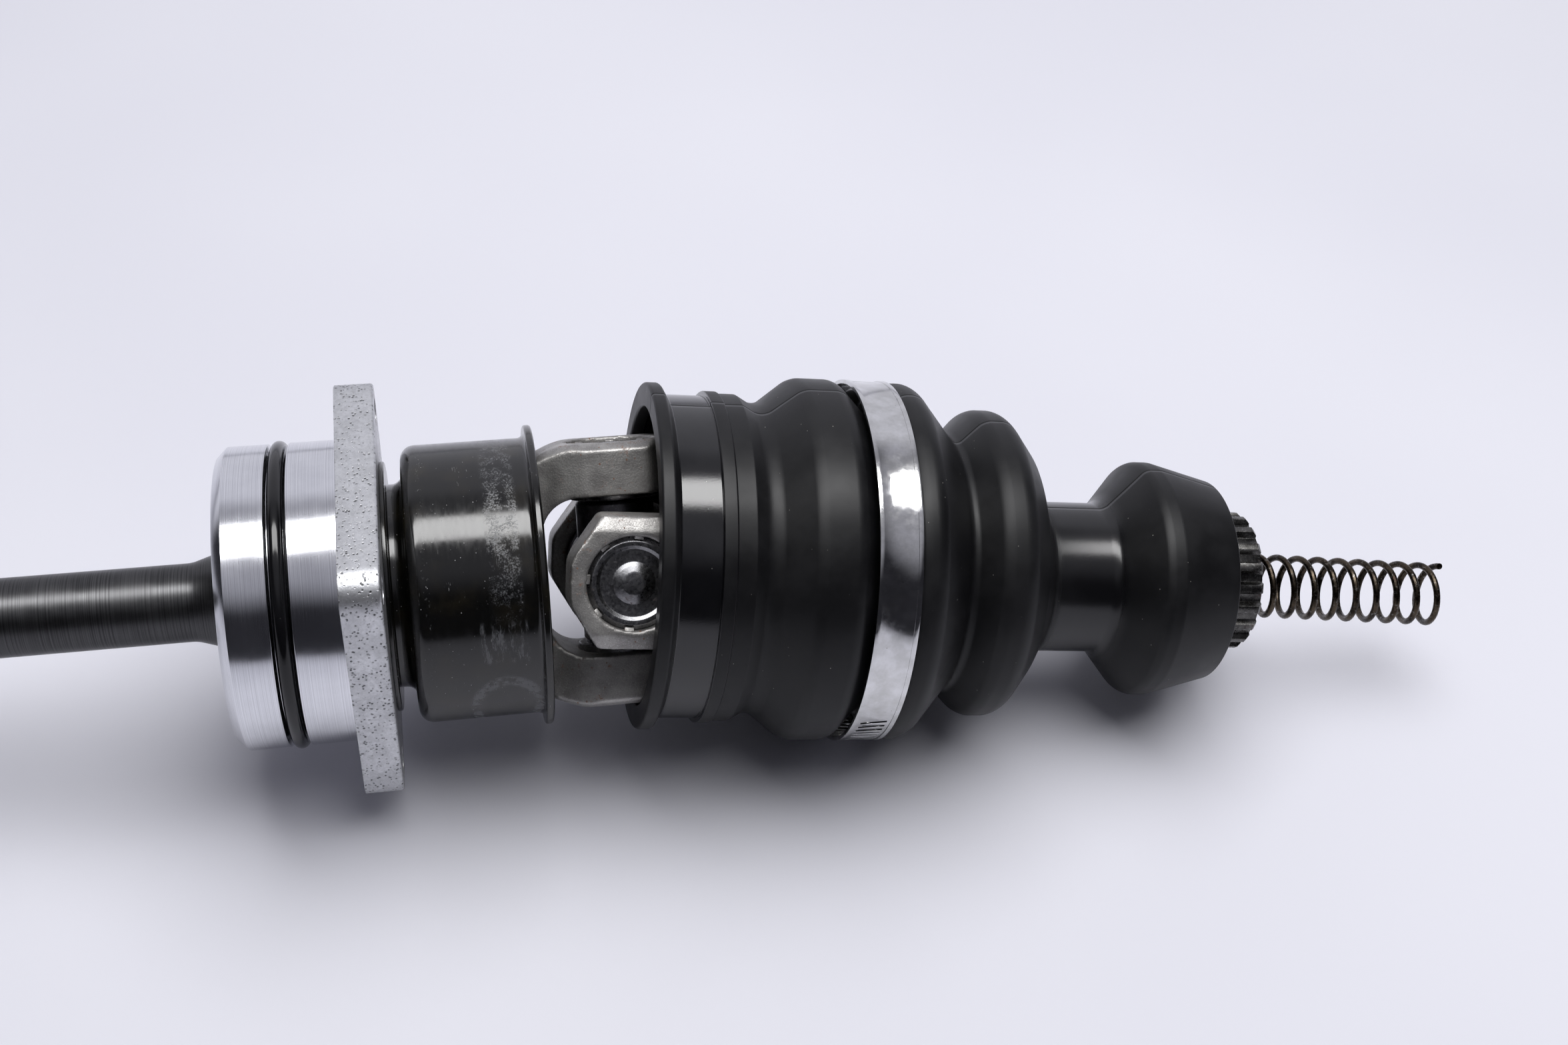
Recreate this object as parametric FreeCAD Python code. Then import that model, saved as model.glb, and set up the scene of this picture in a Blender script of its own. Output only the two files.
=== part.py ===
"""Drive shaft with a bearing holder, a covered universal joint, a rubber boot and a splined, sprung end.

Lengths are millimetres and angles are degrees. X runs along the input shaft towards the spring and Z is up.
The origin is the centre of the holder flange's seating face. Everything past the joint's first pin axis is
drawn straight, with the joint centre as its origin, and then set to the flexed rest pose by its frame.
"""
import FreeCAD
import Part

import math
import os

# Where the joint centre lies, how its first pin axis leans and how far the joint is flexed at rest
JOINT_X = 64.6
PIN_LEAN = 38.5
REST_PITCH = 1.28
REST_YAW = -6.08

# Running and fitting clearances
PRESS_GAP = 0.01
RUNNING_GAP = 0.05
RACE_GAP = 0.08
SLACK = 0.3

# Spline teeth: half their width at root and tip, as shares of the pitch
TOOTH_ROOT_SHARE = 0.30
TOOTH_TIP_SHARE = 0.17

# Bearing holder
SPIGOT_RADIUS = 36.0
SPIGOT_LENGTH = 27.4
SPIGOT_CHAMFER = 2.2
FLANGE_MARGIN = 0.6
FLANGE_CORNER = 8.0
FLANGE_THICKNESS = 9.25
FLANGE_EDGE_ROUND = 0.8
BOLT_SPACING = 59.4
BOLT_HOLE_RADIUS = 3.3
O_RING_CORD_RADIUS = 1.75
O_RING_PROUD = 0.65
O_RING_GROOVE_WIDTH = 4.7
O_RING_SETBACK = 13.5
BORE_SHOULDER_RADIUS = 22.0
BORE_SHOULDER_LENGTH = 2.0
BORE_CHAMFER = 0.8

# Ball bearing
BEARING_SETBACK = 9.0
BEARING_WIDTH = 15.0
BEARING_OUTER_RADIUS = 26.0
BEARING_BORE_RADIUS = 12.5
BEARING_RACE_WALL = 3.8
BEARING_ROUND = 1.0
BALL_SEAT_DEPTH = 1.02
BALL_COUNT = 9
CAGE_WALL = 1.5
CAGE_HALF_WIDTH = 5.4
POCKET_GAP = 0.15

# Retaining rings
RING_THICKNESS = 1.2
RING_GROOVE_DEPTH = 0.9
RING_RADIAL_WIDTH = 2.6
RING_LUG_RADIUS = 2.1
RING_LUG_HOLE_RADIUS = 0.9
SHAFT_RING_GAP_ANGLE = 60.0
HOLDER_RING_GAP_ANGLE = 34.0

# Oil seal
SEAL_RADIUS = 23.5
SEAL_WIDTH = 7.0
SEAL_CASE_WALL = 1.6
SEAL_FACE_WALL = 1.4
SEAL_LIP_HEIGHT = 1.6

# Joint cover
COVER_WALL = 1.6
COVER_NECK_RADIUS = 24.4
COVER_NECK_ENGAGEMENT = 7.6
COVER_STOP_RADIUS = 30.0
COVER_STOP_THICKNESS = 1.2
COVER_SHOULDER_X = 14.2
COVER_NECK_ROUND = 2.5
COVER_SHOULDER_ROUND = 3.4
COVER_BODY_RADIUS = 33.4
COVER_MOUTH_X = 45.6
COVER_LIP_RISE = 3.0
COVER_LIP_THICKNESS = 1.9
COVER_LIP_ROUND = 0.7
COVER_FLARE_ROUND = 1.5
COVER_MOUTH_BEVEL = 0.75

# Input shaft
SHAFT_RADIUS = 9.3
SHAFT_END_X = -270.4
SHAFT_END_CHAMFER = 1.2
SHAFT_FLARE_LENGTH = 7.5
SHAFT_FLARE_RISE = 0.8
SHAFT_CENTRE_RADIUS = 2.0
SHAFT_CENTRE_DEPTH = 5.0
SHAFT_STUB_RADIUS = 10.0
SHAFT_STUB_LENGTH = 29.0
INPUT_TEETH = 16
INPUT_SPLINE_LENGTH = 32.0
INPUT_TOOTH_HEIGHT = 1.0

# Yoke forks, the same for both halves of the joint
EAR_OUTER = 31.7
EAR_INNER = 19.0
EAR_HALF_WIDTH = 15.5
EAR_BACK = 15.5
EAR_BACK_ROUND = 19.0
EAR_TIP = 14.8
EAR_TIP_HALF_WIDTH = 5.0
EAR_TIP_ROUND = 6.0
EAR_SHOULDER = 7.9
EAR_SHOULDER_ROUND = 2.0
FORK_BASE = 18.5
FORK_BASE_ROUND = 9.0
FORK_WAIST = 12.0
FORK_WAIST_START = 17.0
FORK_WAIST_END = 27.0
FORK_SHOULDER_X = 32.0
FORK_SHOULDER_RADIUS = 19.0
FORK_BEND_X = 19.0
FORK_BEND_RADIUS = 30.4
FORK_CREST_X = 11.0
FORK_CREST_RADIUS = 33.9
FORK_LENGTH = 38.0
YOKE_NECK_RADIUS = 14.5
SEAL_JOURNAL_RADIUS = 17.5
SEAL_JOURNAL_LENGTH = 13.5
JOURNAL_CHAMFER = 1.2

# Bearing cups, needles, cup seals and cross
CUP_RADIUS = 11.0
CUP_WALL = 2.0
CUP_RECESS = 1.3
CUP_FLOOR = 2.1
CUP_OPEN_END = 17.6
CUP_SHOULDER_WIDTH = 2.4
CUP_SHOULDER_DROP = 1.3
CUP_DOME_RADIUS = 4.4
CUP_DOME_HEIGHT = 0.6
NEEDLE_RADIUS = 0.97
NEEDLE_LENGTH = 8.2
NEEDLE_COUNT = 24
CUP_SEAL_WIDTH = 1.6
TRUNNION_RADIUS = 7.0
TRUNNION_CHAMFER = 0.8
TRUNNION_END_GAP = 0.1
BOSS_RADIUS = 9.5
BOSS_END_GAP = 0.4
CROSS_CORE_RADIUS = 12.6
GREASE_HOLE_RADIUS = 2.0

# Output stub
HUB_ROOT = 33.0
HUB_END = 44.0
HUB_RADIUS = 18.0
STUB_SPIGOT_RADIUS = 11.0
STUB_SPIGOT_LENGTH = 16.0
SHANK_RADIUS = 16.7
STUB_END = 163.0
OUTPUT_TEETH = 20
OUTPUT_SPLINE_LENGTH = 32.0
OUTPUT_SPLINE_RADIUS = 17.9
OUTPUT_TOOTH_HEIGHT = 1.6
SPRING_BORE_RADIUS = 9.7
SPRING_BORE_DEPTH = 54.0
STUB_END_CHAMFER = 1.0

# Preload spring
SPRING_RADIUS = 8.5
SPRING_WIRE_RADIUS = 0.85
SPRING_PITCH = 5.75
SPRING_STANDOUT = 60.0
SPRING_SEAT_GAP = 0.3
SPRING_DROOP = 1.6
SPRING_MOUTH_SAG = 1.1

# Rubber boot: the slack bellows ride above the shaft axis, the neck and collar fit the shank
BOOT_START = 4.6
BOOT_WALL = 2.2
BOOT_MOUTH_WALL = 3.1
BOOT_MOUTH_DEPTH = 3.4
BOOT_LIP_RISE = 2.8
BOOT_LIP_THICKNESS = 3.2
BOOT_LIP_ROUND = 0.8
BOOT_SEAT_RAMP = 1.6
BOOT_SEAT_WIDTH = 9.6
BOOT_STEP_RISE = 1.2
BOOT_STEP_WIDTH = 3.2
BOOT_SECOND_STEP_DROP = 0.5
BOOT_SECOND_STEP_WIDTH = 4.6
BOOT_RIDE = 3.1
BOOT_RIDE_ANGLE = 6.5
CLAMP_INNER_RADIUS = 44.3
CLAMP_CREST_RISE = 0.5
CLAMP_VALLEY_DEPTH = 7.9
FIRST_CREST_RISE = 1.3
BOOT_VALLEYS = ((31.8, 37.6), (59.5, CLAMP_INNER_RADIUS - CLAMP_VALLEY_DEPTH), (82.0, 33.9))
BOOT_CRESTS = (
    (47.2, CLAMP_INNER_RADIUS + FIRST_CREST_RISE, 6.4),
    (68.6, CLAMP_INNER_RADIUS + CLAMP_CREST_RISE, 3.8),
    (90.8, 38.9, 3.2),
)
BOOT_CREST_ROUND = 4.0
BOOT_VALLEY_ROUND = 1.6
BOOT_SHOULDER_START = 99.3
BOOT_SHOULDER_RADIUS = 35.3
BOOT_SHOULDER_END = 108.8
BOOT_NECK_END = 123.0
BOOT_COLLAR_PEAK = 134.4
BOOT_COLLAR_RADIUS = 30.2
BOOT_COLLAR_FLAT = 4.0
BOOT_COLLAR_ROUND = 2.6
BOOT_COLLAR_WALL = 3.0
BOOT_END = 152.5
BOOT_END_RADIUS = 25.9

# Worm-drive hose clamp, parked on the bellows
CLAMP_PLACE = 59.55
CLAMP_WIDTH = 10.3
CLAMP_BAND_THICKNESS = 0.7
CLAMP_BEAD_HEIGHT = 0.25
CLAMP_BEAD_WIDTH = 1.1
CLAMP_HOUSING_ANGLE = 195.0
CLAMP_TAIL_START = 168.0
CLAMP_TAIL_END = 232.0
CLAMP_SLOT_START = 60.0
CLAMP_SLOT_END = 228.0
CLAMP_SLOT_COUNT = 54
CLAMP_SLOT_LENGTH = 6.4
CLAMP_SLOT_WIDTH = 0.9
CLAMP_SLOT_SLANT = 12.0
HOUSING_LENGTH = 14.0
HOUSING_WIDTH = 12.2
HOUSING_WALL = 1.0
WORM_RADIUS = 3.3
WORM_LENGTH = 13.4
WORM_JOURNAL_RADIUS = 2.3
WORM_HEAD_SIDES = 6
WORM_HEAD_RADIUS = 4.0
WORM_HEAD_LENGTH = 4.6
WORM_SLOT_WIDTH = 1.1
WORM_SLOT_DEPTH = 1.6

ORIGIN = FreeCAD.Vector(0, 0, 0)
ALONG_X = FreeCAD.Vector(1, 0, 0)
ALONG_Y = FreeCAD.Vector(0, 1, 0)
ALONG_Z = FreeCAD.Vector(0, 0, 1)

# Sizes that follow from the ones above
bearing_right = -BEARING_SETBACK
bearing_left = bearing_right - BEARING_WIDTH
bearing_middle = (bearing_left + bearing_right) / 2
outer_land_radius = BEARING_OUTER_RADIUS - BEARING_RACE_WALL
inner_land_radius = BEARING_BORE_RADIUS + BEARING_RACE_WALL
ball_path_radius = (outer_land_radius + inner_land_radius) / 2
ball_radius = (outer_land_radius - inner_land_radius) / 2 + BALL_SEAT_DEPTH
ring_groove_left = bearing_left - RING_THICKNESS - 2 * RUNNING_GAP
cup_bore_radius = CUP_RADIUS - CUP_WALL
cup_face = EAR_OUTER - CUP_RECESS
needle_path_radius = (cup_bore_radius + TRUNNION_RADIUS) / 2
cover_lip_radius = COVER_BODY_RADIUS + COVER_LIP_RISE
flange_side = 2 * (cover_lip_radius + FLANGE_MARGIN)
boot_mouth_radius = cover_lip_radius + SLACK
boot_seat_radius = boot_mouth_radius + BOOT_MOUTH_WALL
neck_radius = SHANK_RADIUS + SLACK + BOOT_WALL
ride = FreeCAD.Vector(
    0,
    BOOT_RIDE * math.sin(math.radians(BOOT_RIDE_ANGLE)),
    BOOT_RIDE * math.cos(math.radians(BOOT_RIDE_ANGLE)),
)
clamp_outer_radius = CLAMP_INNER_RADIUS + CLAMP_BAND_THICKNESS

# Frames of the flexed joint
input_frame = FreeCAD.Placement(FreeCAD.Vector(JOINT_X, 0, 0), FreeCAD.Rotation(ALONG_X, -PIN_LEAN))
cross_frame = input_frame.multiply(FreeCAD.Placement(ORIGIN, FreeCAD.Rotation(ALONG_Z, REST_PITCH)))
output_frame = cross_frame.multiply(FreeCAD.Placement(ORIGIN, FreeCAD.Rotation(-ALONG_Y, REST_YAW)))


def outline_face(corners):
    """Return the face in the XY plane whose corners are (x, y) or, rounded, (x, y, radius)."""
    points = [FreeCAD.Vector(corner[0], corner[1], 0) for corner in corners]
    turns = []
    for index, corner in enumerate(corners):
        here = points[index]
        if len(corner) == 2:
            turns.append((here, here, None))
            continue
        radius = corner[2]
        back = (points[index - 1] - here).normalize()
        ahead = (points[(index + 1) % len(points)] - here).normalize()
        half = back.getAngle(ahead) / 2
        reach = radius / math.tan(half)
        centre = here + (back + ahead).normalize() * (radius / math.sin(half))
        middle = centre + (here - centre).normalize() * radius
        turns.append((here + back * reach, here + ahead * reach, middle))
    edges = []
    for index, (start, stop, middle) in enumerate(turns):
        if middle is not None:
            edges.append(Part.Arc(start, middle, stop).toShape())
        following = turns[(index + 1) % len(turns)][0]
        if stop.distanceToPoint(following) > 1e-5:
            edges.append(Part.LineSegment(stop, following).toShape())
    return Part.Face(Part.Wire(edges))


def turned(corners):
    """Return the solid that an outline of (x, radius) corners sweeps about X."""
    return outline_face(corners).revolve(ORIGIN, ALONG_X, 360)


def ring(start, stop, inner_radius, outer_radius):
    """Return a plain ring about X between two stations."""
    return turned(
        [(start, inner_radius), (start, outer_radius), (stop, outer_radius), (stop, inner_radius)]
    )


def side_prism(corners, half_depth):
    """Return an outline in the XZ plane extruded both ways along Y."""
    face = outline_face(corners)
    face.rotate(ORIGIN, ALONG_X, 90)
    face.translate(ALONG_Y * half_depth)
    return face.extrude(ALONG_Y * (-2 * half_depth))


def plan_prism(corners, half_depth):
    """Return an outline in the XY plane extruded both ways along Z."""
    face = outline_face(corners)
    face.translate(ALONG_Z * -half_depth)
    return face.extrude(ALONG_Z * (2 * half_depth))


def rod(radius, start, stop):
    """Return a cylinder along X between two stations."""
    return Part.makeCylinder(radius, stop - start, FreeCAD.Vector(start, 0, 0), ALONG_X)


def around(shape, count):
    """Return count copies of a shape spread evenly about X."""
    copies = []
    for index in range(count):
        copies.append(shape.rotated(ORIGIN, ALONG_X, 360.0 * index / count))
    return copies


def splined_rod(start, stop, tip_radius, tooth_height, teeth):
    """Return a rod along X with straight-sided teeth."""
    root_radius = tip_radius - tooth_height
    pitch = 2 * math.pi / teeth
    shares = (
        (-TOOTH_ROOT_SHARE, root_radius),
        (-TOOTH_TIP_SHARE, tip_radius),
        (TOOTH_TIP_SHARE, tip_radius),
        (TOOTH_ROOT_SHARE, root_radius),
    )
    points = []
    for index in range(teeth):
        for share, radius in shares:
            angle = (index + share) * pitch
            points.append(FreeCAD.Vector(start, radius * math.cos(angle), radius * math.sin(angle)))
    face = Part.Face(Part.makePolygon(points + points[:1]))
    return face.extrude(ALONG_X * (stop - start))


def rounded_square(side, corner_radius, start, stop):
    """Return a square plate with rounded corners, lying across X."""
    half = side / 2
    corners = [
        (-half, -half, corner_radius),
        (half, -half, corner_radius),
        (half, half, corner_radius),
        (-half, half, corner_radius),
    ]
    face = outline_face(corners)
    face.rotate(ORIGIN, ALONG_Y, 90)
    face.translate(ALONG_X * start)
    return face.extrude(ALONG_X * (stop - start))


def bearing_holder():
    """Cast holder: turned spigot with an O-ring groove, square flange and the stepped bore."""
    left = -SPIGOT_LENGTH
    groove_left = -O_RING_SETBACK - O_RING_GROOVE_WIDTH / 2
    groove_right = groove_left + O_RING_GROOVE_WIDTH
    groove_floor = SPIGOT_RADIUS + O_RING_PROUD - 2 * O_RING_CORD_RADIUS
    spigot = turned(
        [
            (left, 0),
            (left, SPIGOT_RADIUS - SPIGOT_CHAMFER),
            (left + SPIGOT_CHAMFER, SPIGOT_RADIUS),
            (groove_left, SPIGOT_RADIUS),
            (groove_left, groove_floor),
            (groove_right, groove_floor),
            (groove_right, SPIGOT_RADIUS),
            (FLANGE_THICKNESS / 2, SPIGOT_RADIUS),
            (FLANGE_THICKNESS / 2, 0),
        ]
    )
    plate = rounded_square(flange_side, FLANGE_CORNER, 0, FLANGE_THICKNESS)
    rim = [edge for edge in plate.Edges if edge.BoundBox.XMin > FLANGE_THICKNESS / 2]
    plate = plate.makeFillet(FLANGE_EDGE_ROUND, rim)
    seal_seat = bearing_right + BORE_SHOULDER_LENGTH
    neck_end = FLANGE_THICKNESS - COVER_NECK_ENGAGEMENT - SLACK
    ring_groove_radius = BEARING_OUTER_RADIUS + RING_GROOVE_DEPTH + RUNNING_GAP
    bore = turned(
        [
            (left, 0),
            (left, BEARING_OUTER_RADIUS + BORE_CHAMFER),
            (left + BORE_CHAMFER, BEARING_OUTER_RADIUS),
            (ring_groove_left, BEARING_OUTER_RADIUS),
            (ring_groove_left, ring_groove_radius),
            (bearing_left, ring_groove_radius),
            (bearing_left, BEARING_OUTER_RADIUS),
            (bearing_right, BEARING_OUTER_RADIUS),
            (bearing_right, BORE_SHOULDER_RADIUS),
            (seal_seat, BORE_SHOULDER_RADIUS),
            (seal_seat, SEAL_RADIUS),
            (neck_end, SEAL_RADIUS),
            (neck_end, COVER_NECK_RADIUS),
            (FLANGE_THICKNESS, COVER_NECK_RADIUS),
            (FLANGE_THICKNESS, 0),
        ]
    )
    holder = spigot.fuse(plate).removeSplitter().cut(bore)
    half = BOLT_SPACING / 2
    for y in (-half, half):
        for z in (-half, half):
            hole = rod(BOLT_HOLE_RADIUS, 0, FLANGE_THICKNESS)
            hole.translate(FreeCAD.Vector(0, y, z))
            holder = holder.cut(hole)
    return holder


def holder_o_ring():
    """Ring seal in the spigot's groove, standing a little proud."""
    path_radius = SPIGOT_RADIUS + O_RING_PROUD - O_RING_CORD_RADIUS
    centre = FreeCAD.Vector(-O_RING_SETBACK, 0, 0)
    return Part.makeTorus(path_radius, O_RING_CORD_RADIUS - PRESS_GAP, centre, ALONG_X)


def ball_track(radius):
    """Torus that cuts the track of both bearing rings."""
    return Part.makeTorus(ball_path_radius, radius, FreeCAD.Vector(bearing_middle, 0, 0), ALONG_X)


def bearing_race(inner_radius, outer_radius, seat_radius):
    """Bearing ring with its track, rounded at the two edges of its seat."""
    corners = []
    for x, radius in (
        (bearing_left, inner_radius),
        (bearing_left, outer_radius),
        (bearing_right, outer_radius),
        (bearing_right, inner_radius),
    ):
        if radius == seat_radius:
            corners.append((x, radius, BEARING_ROUND))
        else:
            corners.append((x, radius))
    return turned(corners).cut(ball_track(ball_radius + RACE_GAP))


def bearing_outer_ring():
    """Outer ring, pressed into the holder."""
    seat = BEARING_OUTER_RADIUS - PRESS_GAP
    return bearing_race(outer_land_radius, seat, seat)


def bearing_inner_ring():
    """Inner ring, on the shaft's journal."""
    seat = BEARING_BORE_RADIUS + PRESS_GAP
    return bearing_race(seat, inner_land_radius, seat)


def balls():
    """All the bearing's balls on their path."""
    ball = Part.makeSphere(ball_radius, FreeCAD.Vector(bearing_middle, 0, ball_path_radius))
    return around(ball, BALL_COUNT)


def bearing_balls():
    """Ball set."""
    return Part.makeCompound(balls())


def bearing_cage():
    """Cage ring with a pocket round each ball."""
    half = CAGE_WALL / 2
    cage = ring(
        bearing_middle - CAGE_HALF_WIDTH,
        bearing_middle + CAGE_HALF_WIDTH,
        ball_path_radius - half,
        ball_path_radius + half,
    )
    pocket = rod(ball_radius + POCKET_GAP, -CAGE_WALL, CAGE_WALL)
    pocket.rotate(ORIGIN, ALONG_Y, -90)
    pocket.translate(FreeCAD.Vector(bearing_middle, 0, ball_path_radius))
    return cage.cut(Part.makeCompound(around(pocket, BALL_COUNT)))


def retaining_ring(inner_radius, outer_radius, lug_path_radius, gap_angle):
    """Flat spring ring with a gap and a drilled lug at each end, its left face at the ring groove."""
    start = ring_groove_left + RUNNING_GAP
    stop = start + RING_THICKNESS
    body = ring(start, stop, inner_radius, outer_radius)
    half_gap = math.radians(gap_angle / 2)
    reach = 2 * outer_radius
    mouth = outline_face(
        [(0, 0), (reach, -reach * math.tan(half_gap)), (reach, reach * math.tan(half_gap))]
    )
    mouth.rotate(ORIGIN, ALONG_Y, -90)
    mouth.translate(ALONG_X * start)
    body = body.cut(mouth.extrude(ALONG_X * RING_THICKNESS))
    lug_angle = gap_angle / 2 + math.degrees(RING_LUG_RADIUS / lug_path_radius)
    for angle in (-lug_angle, lug_angle):
        lug = rod(RING_LUG_RADIUS, start, stop)
        hole = rod(RING_LUG_HOLE_RADIUS, start, stop)
        place = FreeCAD.Vector(0, 0, lug_path_radius)
        lug.translate(place)
        hole.translate(place)
        lug.rotate(ORIGIN, ALONG_X, angle)
        hole.rotate(ORIGIN, ALONG_X, angle)
        body = body.fuse(lug).cut(hole)
    return body.removeSplitter()


def bearing_circlip():
    """Internal ring that holds the bearing in the holder."""
    outer = BEARING_OUTER_RADIUS + RING_GROOVE_DEPTH
    inner = outer - RING_RADIAL_WIDTH
    return retaining_ring(inner, outer, inner, HOLDER_RING_GAP_ANGLE)


def shaft_circlip():
    """External ring that holds the bearing on the shaft."""
    inner = BEARING_BORE_RADIUS - RING_GROOVE_DEPTH
    outer = inner + RING_RADIAL_WIDTH
    return retaining_ring(inner, outer, outer, SHAFT_RING_GAP_ANGLE)


def oil_seal():
    """Lip seal on the yoke's journal, behind the bearing."""
    left = bearing_right + BORE_SHOULDER_LENGTH + PRESS_GAP
    right = left + SEAL_WIDTH
    outer = SEAL_RADIUS - PRESS_GAP
    lip = SEAL_JOURNAL_RADIUS + RUNNING_GAP
    face = right - SEAL_FACE_WALL
    return turned(
        [
            (left, outer - SEAL_CASE_WALL),
            (left, outer),
            (right, outer),
            (right, lip + SEAL_LIP_HEIGHT),
            (face, lip),
            (face - SEAL_FACE_WALL, lip),
            (face - SEAL_WIDTH / 2, lip + SEAL_LIP_HEIGHT),
            (face - SEAL_FACE_WALL, lip + 2 * SEAL_LIP_HEIGHT),
            (face, outer - SEAL_CASE_WALL),
        ]
    )


def joint_cover():
    """Stamped sleeve round the joint: neck pressed into the holder, stop bead, body and rolled lip."""
    neck = COVER_NECK_RADIUS - PRESS_GAP
    neck_left = FLANGE_THICKNESS - COVER_NECK_ENGAGEMENT
    stop_right = FLANGE_THICKNESS + COVER_STOP_THICKNESS
    lip_left = COVER_MOUTH_X - COVER_LIP_THICKNESS
    shoulder_right = COVER_SHOULDER_X + COVER_WALL
    return turned(
        [
            (neck_left, neck - COVER_WALL),
            (neck_left, neck),
            (FLANGE_THICKNESS, neck),
            (FLANGE_THICKNESS, COVER_STOP_RADIUS),
            (stop_right, COVER_STOP_RADIUS),
            (stop_right, neck),
            (COVER_SHOULDER_X, neck, COVER_NECK_ROUND),
            (COVER_SHOULDER_X, COVER_BODY_RADIUS, COVER_SHOULDER_ROUND),
            (lip_left, COVER_BODY_RADIUS, COVER_FLARE_ROUND),
            (lip_left, cover_lip_radius, COVER_LIP_ROUND),
            (COVER_MOUTH_X, cover_lip_radius, COVER_LIP_ROUND),
            (COVER_MOUTH_X, COVER_BODY_RADIUS + COVER_MOUTH_BEVEL),
            (lip_left, COVER_BODY_RADIUS - COVER_WALL, COVER_MOUTH_BEVEL),
            (shoulder_right, COVER_BODY_RADIUS - COVER_WALL, COVER_SHOULDER_ROUND - COVER_WALL),
            (shoulder_right, neck - COVER_WALL, COVER_NECK_ROUND),
        ]
    )


def input_shaft():
    """Long shaft: splined left end, flare up to the bearing journal and the stub inside the yoke."""
    spline_end = SHAFT_END_X + INPUT_SPLINE_LENGTH
    journal_left = -SPIGOT_LENGTH - SHAFT_FLARE_RISE
    flare_left = journal_left - SHAFT_FLARE_LENGTH
    groove_floor = BEARING_BORE_RADIUS - RING_GROOVE_DEPTH - RUNNING_GAP
    stub_end = bearing_right + SHAFT_STUB_LENGTH
    body = turned(
        [
            (spline_end, 0),
            (spline_end, SHAFT_RADIUS),
            (flare_left, SHAFT_RADIUS, SHAFT_FLARE_LENGTH),
            (journal_left, BEARING_BORE_RADIUS - SHAFT_FLARE_RISE),
            (-SPIGOT_LENGTH, BEARING_BORE_RADIUS),
            (ring_groove_left, BEARING_BORE_RADIUS),
            (ring_groove_left, groove_floor),
            (bearing_left, groove_floor),
            (bearing_left, BEARING_BORE_RADIUS),
            (bearing_right, BEARING_BORE_RADIUS),
            (bearing_right, SHAFT_STUB_RADIUS),
            (stub_end - SHAFT_END_CHAMFER, SHAFT_STUB_RADIUS),
            (stub_end, SHAFT_STUB_RADIUS - SHAFT_END_CHAMFER),
            (stub_end, 0),
        ]
    )
    teeth = splined_rod(SHAFT_END_X, spline_end, SHAFT_RADIUS, INPUT_TOOTH_HEIGHT, INPUT_TEETH)
    lead = turned(
        [
            (SHAFT_END_X, 0),
            (SHAFT_END_X, SHAFT_RADIUS - SHAFT_END_CHAMFER),
            (SHAFT_END_X + SHAFT_END_CHAMFER, SHAFT_RADIUS),
            (spline_end, SHAFT_RADIUS),
            (spline_end, 0),
        ]
    )
    centre = turned(
        [
            (SHAFT_END_X, 0),
            (SHAFT_END_X, SHAFT_CENTRE_RADIUS + SHAFT_END_CHAMFER),
            (SHAFT_END_X + SHAFT_CENTRE_RADIUS, SHAFT_CENTRE_RADIUS),
            (SHAFT_END_X + SHAFT_CENTRE_DEPTH, SHAFT_CENTRE_RADIUS),
            (SHAFT_END_X + SHAFT_CENTRE_DEPTH + SHAFT_CENTRE_RADIUS, 0),
        ]
    )
    return body.fuse(teeth.common(lead)).cut(centre)


def fork():
    """Yoke fork that opens towards +X, its ears along Z and its pin axis through the origin."""
    reach = EAR_TIP + EAR_TIP_ROUND
    base_left = -FORK_LENGTH
    side = side_prism(
        [
            (reach, EAR_OUTER),
            (-EAR_BACK, EAR_OUTER, EAR_BACK_ROUND),
            (-FORK_SHOULDER_X, FORK_SHOULDER_RADIUS, FORK_BASE_ROUND),
            (base_left, YOKE_NECK_RADIUS),
            (base_left, -YOKE_NECK_RADIUS),
            (-FORK_SHOULDER_X, -FORK_SHOULDER_RADIUS, FORK_BASE_ROUND),
            (-EAR_BACK, -EAR_OUTER, EAR_BACK_ROUND),
            (reach, -EAR_OUTER),
            (reach, -EAR_INNER),
            (-FORK_BASE, -EAR_INNER, FORK_BASE_ROUND),
            (-FORK_BASE, EAR_INNER, FORK_BASE_ROUND),
            (reach, EAR_INNER),
        ],
        EAR_HALF_WIDTH,
    )
    half_plan = [
        (EAR_TIP, EAR_TIP_HALF_WIDTH, EAR_TIP_ROUND),
        (EAR_SHOULDER, EAR_HALF_WIDTH, EAR_SHOULDER_ROUND),
        (-EAR_SHOULDER, EAR_HALF_WIDTH, EAR_SHOULDER),
        (-FORK_WAIST_START, FORK_WAIST, EAR_SHOULDER),
        (-FORK_WAIST_END, FORK_WAIST, EAR_SHOULDER),
        (base_left, YOKE_NECK_RADIUS),
    ]
    mirrored = [(corner[0], -corner[1], *corner[2:]) for corner in reversed(half_plan)]
    plan = plan_prism(half_plan + mirrored, EAR_OUTER)
    envelope = turned(
        [
            (base_left, 0),
            (base_left, YOKE_NECK_RADIUS),
            (-FORK_SHOULDER_X, FORK_SHOULDER_RADIUS, FORK_BASE_ROUND),
            (-FORK_BEND_X, FORK_BEND_RADIUS, FORK_BASE_ROUND),
            (-FORK_CREST_X, FORK_CREST_RADIUS, FORK_BASE_ROUND),
            (reach, FORK_CREST_RADIUS),
            (reach, 0),
        ]
    )
    bore = Part.makeCylinder(CUP_RADIUS, 2 * EAR_OUTER, FreeCAD.Vector(0, 0, -EAR_OUTER), ALONG_Z)
    return side.common(plan).common(envelope).cut(bore)


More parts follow.
